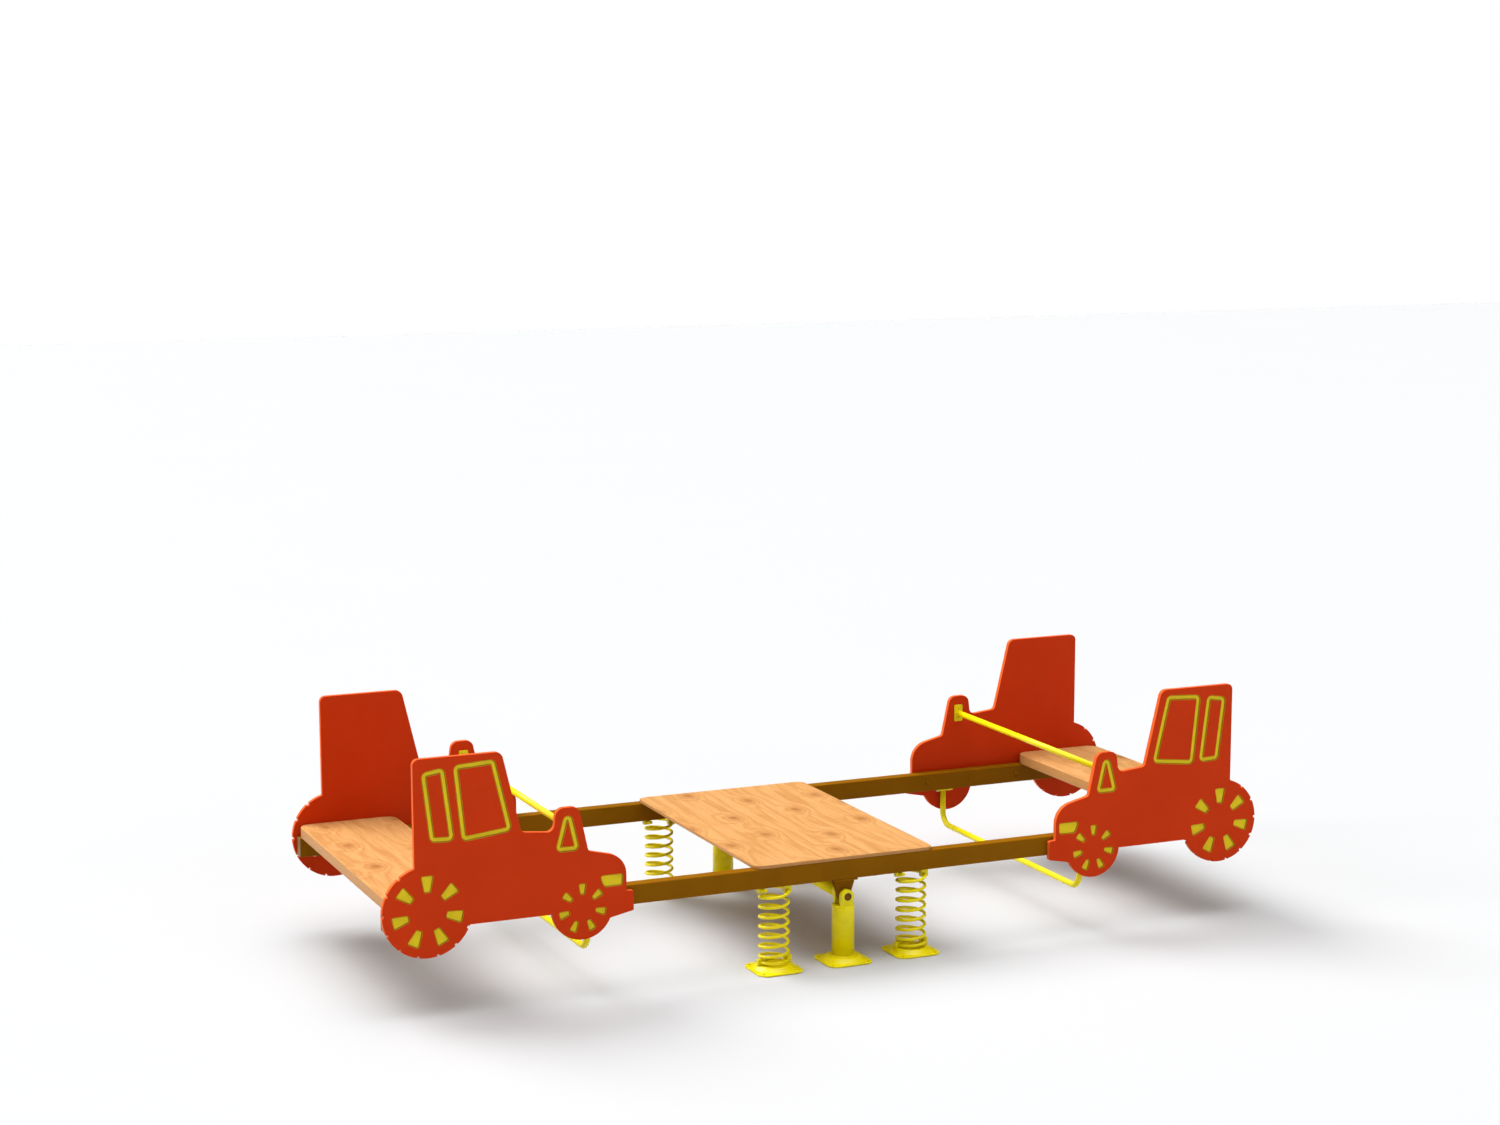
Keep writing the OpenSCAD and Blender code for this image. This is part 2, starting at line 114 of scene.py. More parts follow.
class NodeKit:
    """Adds nodes to one material, with sockets or plain values as inputs."""

    def __init__(self, name: str) -> None:
        """Starts an empty material.

        Args:
            name: the material's name.
        """
        self.material = bpy.data.materials.new(name)
        self.material.use_nodes = True
        self.tree = self.material.node_tree
        self.tree.nodes.clear()
        self.output = self.tree.nodes.new("ShaderNodeOutputMaterial")

    def add(self, kind: str, inputs: dict | None = None, **settings: object) -> bpy.types.Node:
        """Adds a node.

        Args:
            kind: the node's type without the ShaderNode prefix.
            inputs: values or sockets, by input name or index.
            settings: the node's own settings.

        Returns:
            The new node.
        """
        node = self.tree.nodes.new("ShaderNode" + kind)
        for key, value in settings.items():
            setattr(node, key, value)
        for key, value in (inputs or {}).items():
            socket = node.inputs[key]
            if isinstance(value, Socket):
                self.tree.links.new(value, socket)
            else:
                socket.default_value = value
        return node

    def math(self, operation: str, *values: Input) -> Socket:
        """Returns the result of a Math node on values or sockets."""
        return self.add("Math", dict(enumerate(values)), operation=operation).outputs[0]

    def blend(self, factor: Input, a: Input, b: Input) -> Socket:
        """Returns colour a going to colour b by a factor."""
        return self.add("Mix", {0: factor, 6: a, 7: b}, data_type="RGBA").outputs[2]

    def mottle(self, factor: Input, colour: Colour, shares: Point) -> Socket:
        """Returns a colour going from its first share to its second by a factor."""
        return self.blend(factor, shade(colour, shares[0]), shade(colour, shares[1]))

    def remap(self, value: Input, low: float, high: float, to_low: float, to_high: float) -> Socket:
        """Returns a value moved from one range to another and held inside it."""
        limits = {0: value, 1: low, 2: high, 3: to_low, 4: to_high}
        return self.add("MapRange", limits).outputs[0]

    def spread(self, noise: Input, low: float = 0.0, high: float = 1.0) -> Socket:
        """Returns noise spread over a range."""
        return self.remap(noise, *NOISE_BAND, low, high)

    def place(self) -> Socket:
        """Returns the place on the piece, in metres."""
        return self.add("TexCoord").outputs["Object"]

    def part(self, vector: Input, axis: int) -> Socket:
        """Returns one part of a vector: 0, 1 or 2 for X, Y or Z."""
        return self.add("SeparateXYZ", {0: vector}).outputs[axis]

    def facing(self, axis: int) -> Socket:
        """Returns how squarely a face looks along an axis, from 0 to 1."""
        normal = self.add("NewGeometry").outputs["True Normal"]
        return self.math("ABSOLUTE", self.part(normal, axis))

    def stretch(self, place: Input, *scale: float) -> Socket:
        """Returns a place scaled along each axis; a small share draws a pattern out."""
        return self.add("Mapping", {"Vector": place, "Scale": scale}).outputs[0]

    def noise(self, place: Input, scale: float, detail: float = 2.0, rough: float = 0.5) -> Socket:
        """Returns noise at a place, with scale in features a metre."""
        inputs = {"Vector": place, "Scale": scale, "Detail": detail, "Roughness": rough}
        return self.add("TexNoise", inputs).outputs[0]

    def bump(self, height: Input, strength: float, reach: float, normal: object = None) -> Socket:
        """Raises the surface.

        Args:
            height: the pattern that is raised.
            strength: how much of it shows, from 0 to 1.
            reach: its height in millimetres.
            normal: a normal that it adds to.

        Returns:
            The new normal.
        """
        inputs = {"Height": height, "Strength": strength, "Distance": reach * MM}
        if normal is not None:
            inputs["Normal"] = normal
        return self.add("Bump", inputs).outputs[0]

    def surface(self, **inputs: Input) -> bpy.types.Material:
        """Finishes the material with a Principled shader.

        Args:
            inputs: values or sockets by input name, with _ for a space.

        Returns:
            The material.
        """
        named = {key.replace("_", " "): value for key, value in inputs.items()}
        shader = self.add("BsdfPrincipled", named)
        self.tree.links.new(shader.outputs[0], self.output.inputs["Surface"])
        return self.material


@dataclass(frozen=True)
class PowderCoat:
    """Powder-coated steel: faint orange peel, slow mottling and a thin gloss."""

    name: str
    slot: str
    colour: Colour
    gloss: float
    shine: float
    gloss_spread: float = 0.09
    mottling: float = 9.0
    mottle_shares: Point = (0.94, 1.05)
    peel: float = 520.0
    peel_height: float = 0.4
    flecks: float = 2600.0
    fleck_share: float = 1.35

    def make(self) -> bpy.types.Material:
        """Builds the material.

        Returns:
            The material.
        """
        kit = NodeKit(self.name)
        place = kit.place()
        slow = kit.noise(place, self.mottling, 4)
        fleck = kit.remap(kit.noise(place, self.flecks, 1), 0.62, 0.8, 0, 0.25)
        tone = kit.mottle(kit.spread(slow), self.colour, self.mottle_shares)
        return kit.surface(
            Base_Color=kit.blend(fleck, tone, shade(self.colour, self.fleck_share)),
            Roughness=kit.spread(slow, self.gloss, self.gloss + self.gloss_spread),
            Normal=kit.bump(kit.noise(place, self.peel, 2), 0.22, self.peel_height),
            Specular_IOR_Level=self.shine,
        )


@dataclass(frozen=True)
class SheetPlastic:
    """Grained polyethylene sheet, scored by the cutter along its edges, which are drawn paler:
    partly the cut plastic's own tone, partly painted highlight for the brightly lit edges.
    """

    name: str
    slot: str
    skin: Colour
    routed: Colour
    outer_y: float
    thickness: float
    skin_thickness: float
    skin_shares: Point = (0.955, 1.04)
    routed_shares: Point = (0.93, 1.05)
    clouds: float = 5.0
    grain: float = 1500.0
    waver: float = 0.4
    wavers: float = 60.0
    skin_blur: float = 0.2
    scores: float = 160.0
    shine: float = 0.06

    def edge_share(self, kit: NodeKit, place: Socket) -> Socket:
        """Finds the cut edge by its depth in the sheet.

        Args:
            kit: the material's nodes.
            place: the place on the piece.

        Returns:
            1 between the sheet's two skins, and 0 in them.
        """
        depth = kit.math("SUBTRACT", self.outer_y * MM, kit.math("ABSOLUTE", kit.part(place, 1)))
        wave = kit.math("SUBTRACT", kit.noise(place, self.wavers, 2), 0.5)
        depth = kit.math("ADD", depth, kit.math("MULTIPLY", wave, self.waver * MM))
        from_middle = kit.math("ABSOLUTE", kit.math("SUBTRACT", depth, self.thickness * MM / 2))
        limit = (self.thickness / 2 - self.skin_thickness) * MM
        soft = self.skin_blur * MM
        return kit.remap(from_middle, limit + soft, limit - soft, 0, 1)

    def make(self) -> bpy.types.Material:
        """Builds the material.

        Returns:
            The material.
        """
        kit = NodeKit(self.name)
        place = kit.place()
        edge = self.edge_share(kit, place)
        slow = kit.spread(kit.noise(place, self.clouds, 3))
        grain = kit.noise(place, self.grain, 2, 0.6)
        skin = kit.mottle(slow, self.skin, self.skin_shares)
        skin = kit.blend(kit.remap(grain, 0.6, 0.8, 0, 0.3), skin, shade(self.skin, 1.3))
        rings = {"Vector": place, "Scale": self.scores, "Distortion": 3, "Detail": 1}
        cutter = kit.add("TexWave", rings, wave_type="RINGS").outputs[1]
        marks = kit.bump(kit.math("MULTIPLY", cutter, edge), 0.12, 0.2)
        return kit.surface(
            # the cut edges take the paler routed colour: partly the plastic's own tone, partly
            # painted highlight
            Base_Color=kit.blend(edge, skin, kit.mottle(slow, self.routed, self.routed_shares)),
            Roughness=kit.spread(grain, 0.42, 0.55),
            Normal=kit.bump(grain, 0.35, 0.3, marks),
            Specular_IOR_Level=self.shine,
        )


@dataclass(frozen=True)
class VarnishedPlywood:
    """Varnished pine plywood: grain along Y with knots on the faces, and plies along the edges."""

    name: str
    slot: str
    pale: Colour
    warm: Colour
    knot: Colour
    ply: float = 1.5
    knots_x: float = 5.2
    knots_y: float = 3.4
    rings: float = 15.0
    ring_sway: float = 5.5
    knot_pull: float = -3.0
    fibres: float = 900.0
    streaks: float = 120.0
    shine: float = 0.12

    def knot_reach(self, kit: NodeKit, place: Socket) -> Socket:
        """Measures how far a spot is from the nearest knot.

        Args:
            kit: the material's nodes.
            place: the place on the piece.

        Returns:
            The distance, in cells of the knots' pattern.
        """
        cells = kit.stretch(place, self.knots_x, self.knots_y, 0.0)
        inputs = {"Vector": cells, "Scale": 1.0, "Randomness": 0.75}
        spots = kit.add("TexVoronoi", inputs, voronoi_dimensions="2D").outputs["Distance"]
        ragged = kit.math("MULTIPLY", kit.math("SUBTRACT", kit.noise(place, 30, 2), 0.5), 0.1)
        return kit.math("ADD", spots, ragged)

    def late_wood(self, kit: NodeKit, place: Socket, reach: Socket) -> Socket:
        """Draws the year rings, which bend round the knots.

        Args:
            kit: the material's nodes.
            place: the place on the piece.
            reach: how far the spot is from a knot.

        Returns:
            1 in the dark lines and 0 between them.
        """
        close = kit.remap(reach, 0.05, 0.42, 1, 0)
        near = kit.math("MULTIPLY", close, close)
        sway = kit.noise(kit.stretch(place, 1.0, 0.12, 1.0), 7, 3)
        flow = kit.math("MULTIPLY", kit.part(place, 0), self.rings)
        flow = kit.math("ADD", flow, kit.math("MULTIPLY", sway, self.ring_sway))
        flow = kit.math("ADD", flow, kit.math("MULTIPLY", near, self.knot_pull))
        wave = kit.math("SINE", kit.math("MULTIPLY", flow, math.tau))
        return kit.math("POWER", kit.math("MULTIPLY", kit.math("ADD", wave, 1.0), 0.5), 3.0)

    def edge(self, kit: NodeKit, place: Socket) -> Socket:
        """Draws the plies, every second one seen end on.

        Args:
            kit: the material's nodes.
            place: the place on the piece.

        Returns:
            The colour of the board's edges.
        """
        layer = kit.math("FRACT", kit.math("DIVIDE", kit.part(place, 2), 2 * self.ply * MM))
        second = kit.remap(layer, 0.47, 0.53, 0, 1)
        grain = kit.noise(kit.stretch(place, 0.15, 0.15, 1.0), self.fibres, 3)
        plies = kit.blend(second, shade(self.warm, 0.9), shade(self.pale, 1.02))
        return kit.blend(kit.remap(grain, 0.45, 0.7, 0, 0.5), plies, shade(self.warm, 0.62))

    def make(self) -> bpy.types.Material:
        """Builds the material.

        Returns:
            The material.
        """
        kit = NodeKit(self.name)
        place = kit.place()
        reach = self.knot_reach(kit, place)
        late = self.late_wood(kit, place, reach)
        fibres = kit.noise(kit.stretch(place, 1.0, 0.03, 1.0), self.fibres, 3, 0.65)
        streaks = kit.noise(kit.stretch(place, 1.0, 0.05, 1.0), self.streaks, 3)
        face = kit.blend(kit.math("MULTIPLY", late, 0.55), rgba(self.pale), rgba(self.warm))
        face = kit.blend(kit.remap(streaks, 0.42, 0.68, 0, 0.5), face, rgba(self.warm))
        face = kit.blend(kit.remap(fibres, 0.52, 0.75, 0, 0.45), face, shade(self.warm, 0.8))
        face = kit.blend(kit.remap(reach, 0.24, 0.07, 0, 0.42), face, shade(self.knot, 1.7))
        face = kit.blend(kit.remap(reach, 0.1, 0.03, 0, 0.4), face, rgba(self.knot))
        upright = kit.remap(kit.facing(2), 0.55, 0.75, 0, 1)
        height = kit.math("ADD", kit.math("MULTIPLY", late, 0.4), fibres)
        return kit.surface(
            Base_Color=kit.blend(upright, self.edge(kit, place), face),
            Roughness=kit.spread(fibres, 0.36, 0.5),
            Normal=kit.bump(height, 0.25, 0.3),
            Specular_IOR_Level=self.shine,
        )


@dataclass(frozen=True)
class ZincSteel:
    """Zinc-plated steel: bare metal with a faint spangle and fine turning scratches."""

    name: str
    slot: str
    colour: Colour
    shares: Point = (0.82, 1.1)
    spangle: float = 420.0
    smears: float = 160.0
    scratches: float = 3000.0

    def make(self) -> bpy.types.Material:
        """Builds the material.

        Returns:
            The material.
        """
        kit = NodeKit(self.name)
        place = kit.place()
        cells = kit.add("TexVoronoi", {"Vector": place, "Scale": self.spangle})
        height = kit.math("ADD", cells.outputs["Distance"], kit.noise(place, self.scratches, 2))
        smear = kit.noise(place, self.smears, 4)
        return kit.surface(
            Base_Color=kit.mottle(kit.spread(smear), self.colour, self.shares),
            Metallic=1.0,
            Roughness=kit.spread(smear, 0.28, 0.45),
            Normal=kit.bump(height, 0.15, 0.2),
        )


@dataclass(frozen=True)
class MouldedPlastic:
    """Matte moulded plastic with a spark-eroded grain."""

    name: str
    slot: str
    colour: Colour
    shares: Point = (0.9, 1.12)
    clouds: float = 25.0
    grain: float = 1800.0

    def make(self) -> bpy.types.Material:
        """Builds the material.

        Returns:
            The material.
        """
        kit = NodeKit(self.name)
        place = kit.place()
        slow = kit.spread(kit.noise(place, self.clouds, 3))
        grain = kit.noise(place, self.grain, 2)
        return kit.surface(
            Base_Color=kit.mottle(slow, self.colour, self.shares),
            Roughness=kit.spread(grain, 0.45, 0.6),
            Normal=kit.bump(grain, 0.3, 0.2),
        )


@dataclass(frozen=True)
class EngravingPaint:
    """Painted floor of an engraving, with painted shade on its cut sides."""

    name: str
    slot: str
    colour: Colour
    # sides: the colour of painted shade on the engraving's cut walls
    sides: Colour
    shares: Point = (0.92, 1.06)
    clouds: float = 18.0
    grain: float = 1500.0
    shine: float = 0.15

    def make(self) -> bpy.types.Material:
        """Builds the material.

        Returns:
            The material.
        """
        kit = NodeKit(self.name)
        place = kit.place()
        slow = kit.spread(kit.noise(place, self.clouds, 3))
        grain = kit.noise(place, self.grain, 2)
        paint = kit.mottle(slow, self.colour, self.shares)
        # the cut walls turn to the sides colour: painted shade standing for the shadow inside the
        # engraving
        wall_shade = kit.remap(kit.facing(1), 0.96, 0.6, 0, 1)
        return kit.surface(
            Base_Color=kit.blend(wall_shade, paint, rgba(self.sides)),
            Roughness=kit.spread(grain, 0.4, 0.55),
            Normal=kit.bump(grain, 0.3, 0.2),
            Specular_IOR_Level=self.shine,
        )


YELLOW_COAT = PowderCoat(
    "Yellow_powder_coat", "yellow_steel", (0.82, 0.69, 0.001), gloss=0.24, shine=0.25)
BROWN_COAT = PowderCoat(
    "Brown_powder_coat", "brown_steel", (0.235, 0.09, 0.0004), gloss=0.4, shine=0.03)
# the routed colour below is partly the cut edge's own tone and partly painted highlight
RED_SHEET = SheetPlastic(
    "Red_sheet", "red_sheet", skin=(0.60, 0.038, 0.0025), routed=(0.70, 0.11, 0.02),
    outer_y=550, thickness=19, skin_thickness=1.3)
# the sides colour below is painted shade for the engraving's walls
ENGRAVING = EngravingPaint(
    "Engraving_paint", "red_sheet", (0.80, 0.60, 0.008), sides=(0.30, 0.16, 0.002))
PLYWOOD = VarnishedPlywood(
    "Varnished_plywood", "plywood", pale=(0.60, 0.315, 0.115), warm=(0.44, 0.185, 0.046),
    knot=(0.20, 0.07, 0.014))
ZINC = ZincSteel("Zinc_plated_steel", "zinc_steel", (0.60, 0.60, 0.58))
BROWN_CAP = MouldedPlastic("Brown_cap_plastic", "cap_plastic", (0.20, 0.085, 0.004))
BUSH = MouldedPlastic("Bush_plastic", "bush", (0.03, 0.03, 0.032))

Finish = PowderCoat | SheetPlastic | EngravingPaint | VarnishedPlywood | ZincSteel | MouldedPlastic


class Paintbox:
    """Builds each finish once and gives it to pieces."""

    made: dict[str, bpy.types.Material] = {}

    @classmethod
    def material(cls, finish: Finish) -> bpy.types.Material:
        """Builds a finish's material at its first use, and finds it again later.

        Args:
            finish: the finish.

        Returns:
            The material.
        """
        if finish.name not in cls.made:
            cls.made[finish.name] = finish.make()
        return cls.made[finish.name]

    @classmethod
    def dress(cls, piece: bpy.types.Object, *finishes: Finish) -> None:
        """Gives a piece its finishes.

        Args:
            piece: the object to dress.
            finishes: its finish, and others that its faces may use by number.
        """
        if piece.data.materials:
            piece.data.materials.clear()
        for finish in finishes:
            piece.data.materials.append(cls.material(finish))


# ---------------------------------------------------------------- outlines


def arc(centre: Point, radius: float, start: float, stop: float, step: float = 6.0) -> Loop:
    """Returns points along an arc.

    Args:
        centre: the arc's centre.
        radius: its radius.
        start: the first angle in degrees.
        stop: the last angle in degrees; above start turns anticlockwise.
        step: the largest angle between points.

    Returns:
        The points, both ends included.
    """
    count = max(1, math.ceil(abs(stop - start) / step))
    angles = (math.radians(start + (stop - start) * i / count) for i in range(count + 1))
    x, y = centre
    return [Vector((x + radius * math.cos(a), y + radius * math.sin(a))) for a in angles]


def circle(radius: float, centre: Point = (0.0, 0.0), count: int = 48) -> Loop:
    """Returns a closed anticlockwise circle."""
    return arc(centre, radius, 0, 360, 360 / count)[:-1]


def spokes(count: int) -> list[float]:
    """Returns evenly spaced angles round a full turn, in radians."""
    return [math.tau * i / count for i in range(count)]


def corner(before: Vector, at: Vector, after: Vector, radius: float, step: float = 7.0) -> Loop:
    """Rounds the corner between two straight runs.

    Args:
        before: where the first run comes from.
        at: the sharp corner.
        after: where the second run goes.
        radius: the radius of the rounded corner.
        step: the largest angle between points.

    Returns:
        The arc's points, or the corner itself where the radius is 0.
    """
    if radius == 0:
        return [at]
    back, on = (before - at).normalized(), (after - at).normalized()
    half = math.acos(max(-1.0, min(1.0, back.dot(on)))) / 2
    centre = at + (back + on).normalized() * (radius / math.sin(half))
    first = at + back * (radius / math.tan(half)) - centre
    last = at + on * (radius / math.tan(half)) - centre
    start = math.degrees(math.atan2(first.y, first.x))
    sweep = (math.degrees(math.atan2(last.y, last.x)) - start + 180) % 360 - 180
    return arc(centre[:], radius, start, start + sweep, step)


def rounded(corners: Sequence[Corner], closed: bool = True) -> Loop:
    """Returns an outline from corners given as (x, y, radius).

    Args:
        corners: the corners in order.
        closed: False leaves the first and last points as they are.

    Returns:
        The outline's points.
    """
    at = [Vector((x, y)) for x, y, _ in corners]
    count = len(corners)
    points: Loop = []
    for i, (_, _, radius) in enumerate(corners):
        open_end = not closed and i in (0, count - 1)
        points += [at[i]] if open_end else corner(at[i - 1], at[i], at[(i + 1) % count], radius)
    return points


def rounded_box(width: float, height: float, radius: float) -> Loop:
    """Returns a centred rectangle with rounded corners, anticlockwise."""
    x, y = width / 2, height / 2
    return rounded([(-x, -y, radius), (x, -y, radius), (x, y, radius), (-x, y, radius)])


def inset(loop: Loop, distance: float) -> Loop:
    """Moves a closed anticlockwise outline inwards.

    Args:
        loop: the outline.
        distance: how far it moves; a negative distance moves it outwards.

    Returns:
        The moved outline, with as many points.
    """
    sharpest = 0.35
    moved = []
    for i, at in enumerate(loop):
        a, b = (at - loop[i - 1]).normalized(), (loop[(i + 1) % len(loop)] - at).normalized()
        left, right = Vector((-a.y, a.x)), Vector((-b.y, b.x))
        way = (left + right).normalized()
        moved.append(at + way * (distance / max(sharpest, way.dot(left))))
    return moved


def anticlockwise(loop: Loop) -> Loop:
    """Returns the outline in anticlockwise order."""
    area = sum(a.x * b.y - b.x * a.y for a, b in zip(loop, loop[1:] + loop[:1]))
    return loop if area > 0 else loop[::-1]


def easing(low: float, high: float, radius: float, steps: int = 3) -> list[Point]:
    """Gives the rows of a wall with both its edges rounded.

    Args:
        low: the wall's lowest height.
        high: its highest height.
        radius: the radius of both edges.
        steps: steps round each edge.

    Returns:
        The rows, as (inset, height).
    """
    angles = [math.pi / 2 * i / steps for i in range(steps + 1)]
    under = [(radius * (1 - math.sin(a)), low + radius * (1 - math.cos(a))) for a in angles]
    over = [(radius * (1 - math.cos(a)), high - radius * (1 - math.sin(a))) for a in angles]
    return under + over


def mouth_rows(low: float, high: float, below: float, above: float) -> list[Point]:
    """Returns the rows of a hole through a plate, with the mouths broken at both faces."""
    return [(-below, low), (0, low + below), (0, high - above), (-above, high)]


# ---------------------------------------------------------------- meshes


class Forge:
    """Collects the faces of one piece, in millimetres, and turns them into an object."""

    def __init__(self, name: str) -> None:
        """Starts an empty piece.

        Args:
            name: the name of the object.
        """
        self.name = name
        self.mesh = bmesh.new()
        self.place = Matrix.Identity(4)
        self.coat = 0

    def at(self, place: Matrix) -> "Forge":
        """Sets where what comes next is drawn, and returns the forge."""
        self.place = place
        return self

    def ring(self, points: Iterable[Vector]) -> Row:
        """Adds a row of points given in the present place."""
        return [self.mesh.verts.new((self.place @ Vector(p).to_3d()) * MM) for p in points]

    def row(self, loop: Loop, height: float) -> Row:
        """Adds a flat row of points at a height."""
        return self.ring([Vector((p.x, p.y, height)) for p in loop])

    def bridge(self, low: Row, high: Row, smooth: bool = True) -> None:
        """Joins two closed rows with a band of faces.

        Args:
            low: the first row.
            high: the second row, as long as the first.
            smooth: False leaves the faces flat.
        """
        count = len(low)
        for i in range(count):
            j = (i + 1) % count
            face = self.mesh.faces.new((low[i], low[j], high[j], high[i]))
            face.smooth, face.material_index = smooth, self.coat

    def stack(self, rows: Sequence[Row], smooth: bool = True) -> None:
        """Joins each row to the next."""
        for low, high in zip(rows, rows[1:]):
            self.bridge(low, high, smooth)

    def wall(self, loop: Loop, rows: Sequence[Point], smooth: bool = True) -> tuple[Row, Row]:
        """Raises an outline through rows of (inset, height).

        Args:
            loop: the outline.
            rows: the rows in order.
            smooth: False leaves the faces flat.

        Returns:
            The first and the last row.
        """
        made = [self.row(inset(loop, edge) if edge else loop, height) for edge, height in rows]
        self.stack(made, smooth)
        return made[0], made[-1]

    def cap(self, edge: Row, holes: Sequence[Row] = (), upright: bool = False) -> None:
        """Fills a closed row of vertices.

        Args:
            edge: the row.
            holes: rows inside it that stay open.
            upright: True for a row that stands across the present place's Y.
        """
        loops = [edge, *holes]
        verts = [v for loop in loops for v in loop]
        back = self.place.inverted()
        flat = []
        for loop in loops:
            spots = [back @ (v.co / MM) for v in loop]
            flat.append([Vector((p.x, p.z if upright else p.y, 0.0)) for p in spots])
        for a, b, c in tessellate_polygon(flat):
            if len({a, b, c}) == 3:
                self.mesh.faces.new((verts[a], verts[b], verts[c])).material_index = self.coat

    def slab(self, loop: Loop, low: float, high: float, radius: float,
             holes: Sequence[Loop] = (), hole_edge: float = 0.6) -> None:
        """Adds a plate with rounded edges.

        Args:
            loop: its anticlockwise outline.
            low: the height of its underside.
            high: the height of its top.
            radius: the radius of its edges.
            holes: anticlockwise outlines of holes right through.
            hole_edge: how far the holes' mouths are broken.
        """
        under, over = self.wall(loop, easing(low, high, radius))
        rows = mouth_rows(low, high, hole_edge, hole_edge)
        mouths = [self.wall(hole, rows) for hole in holes]
        self.cap(under, [lower for lower, _ in mouths])
        self.cap(over, [upper for _, upper in mouths])

    def lathe(self, profile: Sequence[Point], count: int = 48, closed: bool = False) -> None:
        """Turns a profile of (radius, height) round the present place's Z.

        Args:
            profile: the points in order.
            count: steps round the axis.
            closed: True joins the last point to the first; False caps both ends.
        """
        rows = [self.row(circle(radius, count=count), height) for radius, height in profile]
        self.stack(rows)
        if closed:
            self.bridge(rows[-1], rows[0])
        else:
            self.cap(rows[0])
            self.cap(rows[-1])

    def bead(self, radius: float, height: float, size: float, count: int = 72) -> None:
        """Adds a rippled weld bead round the present place's Z.

        Args:
            radius: the radius of the joint.
            height: the height of the joint.
            size: the bead's own radius.
            count: steps round the joint.
        """
        sides, steps_a_ripple, ripple = 8, 6, 0.16
        rows = []
        for turn in spokes(count):
            swell = size * (1 + ripple * math.sin(turn * count / steps_a_ripple))
            row = []
            for a in spokes(sides):
                out = radius + swell * math.cos(a)
                up = height + swell * math.sin(a)
                row.append(Vector((out * math.cos(turn), out * math.sin(turn), up)))
            rows.append(self.ring(row))
        self.stack([*rows, rows[0]])

    def sweep(self, path: Sequence[Vector], radius: float, sides: int = 24) -> None:
        """Sweeps a round wire or tube along a path and closes its ends.

        Args:
            path: the middle line.
            radius: the wire's radius.
            sides: steps round the wire.
        """
        ahead = (path[1] - path[0]).normalized()
        across = ahead.orthogonal().normalized()
        rows = []
        for i, at in enumerate(path):
            way = (path[min(i + 1, len(path) - 1)] - path[max(i - 1, 0)]).normalized()
            across = (across - way * across.dot(way)).normalized()
            up = way.cross(across)
            rows.append(self.ring([
                at + (across * math.cos(a) + up * math.sin(a)) * radius for a in spokes(sides)]))
        self.stack(rows)
        for row in (rows[0], rows[-1]):
            self.mesh.faces.new(row)

    def object(self) -> bpy.types.Object:
        """Closes the forge, with faces turned outwards.

        Returns:
            The object.
        """
        bmesh.ops.recalc_face_normals(self.mesh, faces=self.mesh.faces)
        data = bpy.data.meshes.new(self.name)
        self.mesh.to_mesh(data)
        self.mesh.free()
        piece = bpy.data.objects.new(self.name, data)
        bpy.context.scene.collection.objects.link(piece)
        return piece


def shift(x: float = 0.0, y: float = 0.0, z: float = 0.0) -> Matrix:
    """Returns a move in millimetres."""
    return Matrix.Translation((x, y, z))


def tilt(degrees: float) -> Matrix:
    """Returns a turn about X."""
    return Matrix.Rotation(math.radians(degrees), 4, "X")


def mirrored(end: End, side: Side) -> Matrix:
    """Returns the mirror that takes the near left corner to another corner."""
    return Matrix.Diagonal((-end.value, -side.value, 1, 1))


ALONG_Y = Matrix(((1, 0, 0, 0), (0, 0, 1, 0), (0, 1, 0, 0), (0, 0, 0, 1)))
ALONG_X = Matrix(((0, 0, 1, 0), (1, 0, 0, 0), (0, 1, 0, 0), (0, 0, 0, 1)))
UPRIGHT = Matrix(((1, 0, 0, 0), (0, 0, -1, 0), (0, 1, 0, 0), (0, 0, 0, 1)))
UPSIDE_DOWN = Matrix.Diagonal((1, -1, -1, 1))


def stand_in(forge: Forge, body: Body, node: str, *finishes: Finish) -> bpy.types.Object:
    """Finishes a piece that stands for a CAD node and rides on a body.

    Args:
        forge: the piece's faces.
        body: the body it rides on.
        node: the CAD node it stands for.
        finishes: its finishes, in the order of its faces' numbers.

    Returns:
        The piece.
    """
    piece = forge.object()
    Paintbox.dress(piece, *finishes)
    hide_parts(node)
    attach(piece, body.value)
    LOG.info("%s: %d faces, stands for %s", piece.name, len(piece.data.polygons), node)
    return piece


@dataclass
class HexBolt:
    """A flanged hex bolt, drawn with the underside of its head at the place, shank along +Z."""

    thread: float = 8.0
    across_flats: float = 13.0
    head: float = 5.3
    flange: float = 17.0
    flange_height: float = 1.3

    def draw(self, forge: Forge, place: Matrix, shank: float) -> None:
        """Draws the bolt.

        Args:
            forge: where it is drawn.
            place: the underside of its head.
            shank: the shank's length.
        """
        forge.at(place @ UPSIDE_DOWN)
        rim, top = self.flange / 2, self.flange_height
        forge.lathe([(rim - 0.3, 0), (rim, 0.3), (rim, top * 0.6), (rim - 1.2, top)], 32)
        hexagon = circle(self.across_flats / math.sqrt(3), count=6)
        rows = [(0, 0.2), (0, self.head - 0.9), (0.55, self.head - 0.25), (1.5, self.head)]
        low, high = forge.wall(hexagon, rows, smooth=False)
        forge.cap(low)
        forge.cap(high)
        forge.at(place)
        radius = self.thread / 2
        forge.lathe([(radius, -0.5), (radius, shank - 1), (radius - 0.8, shank)], 20)


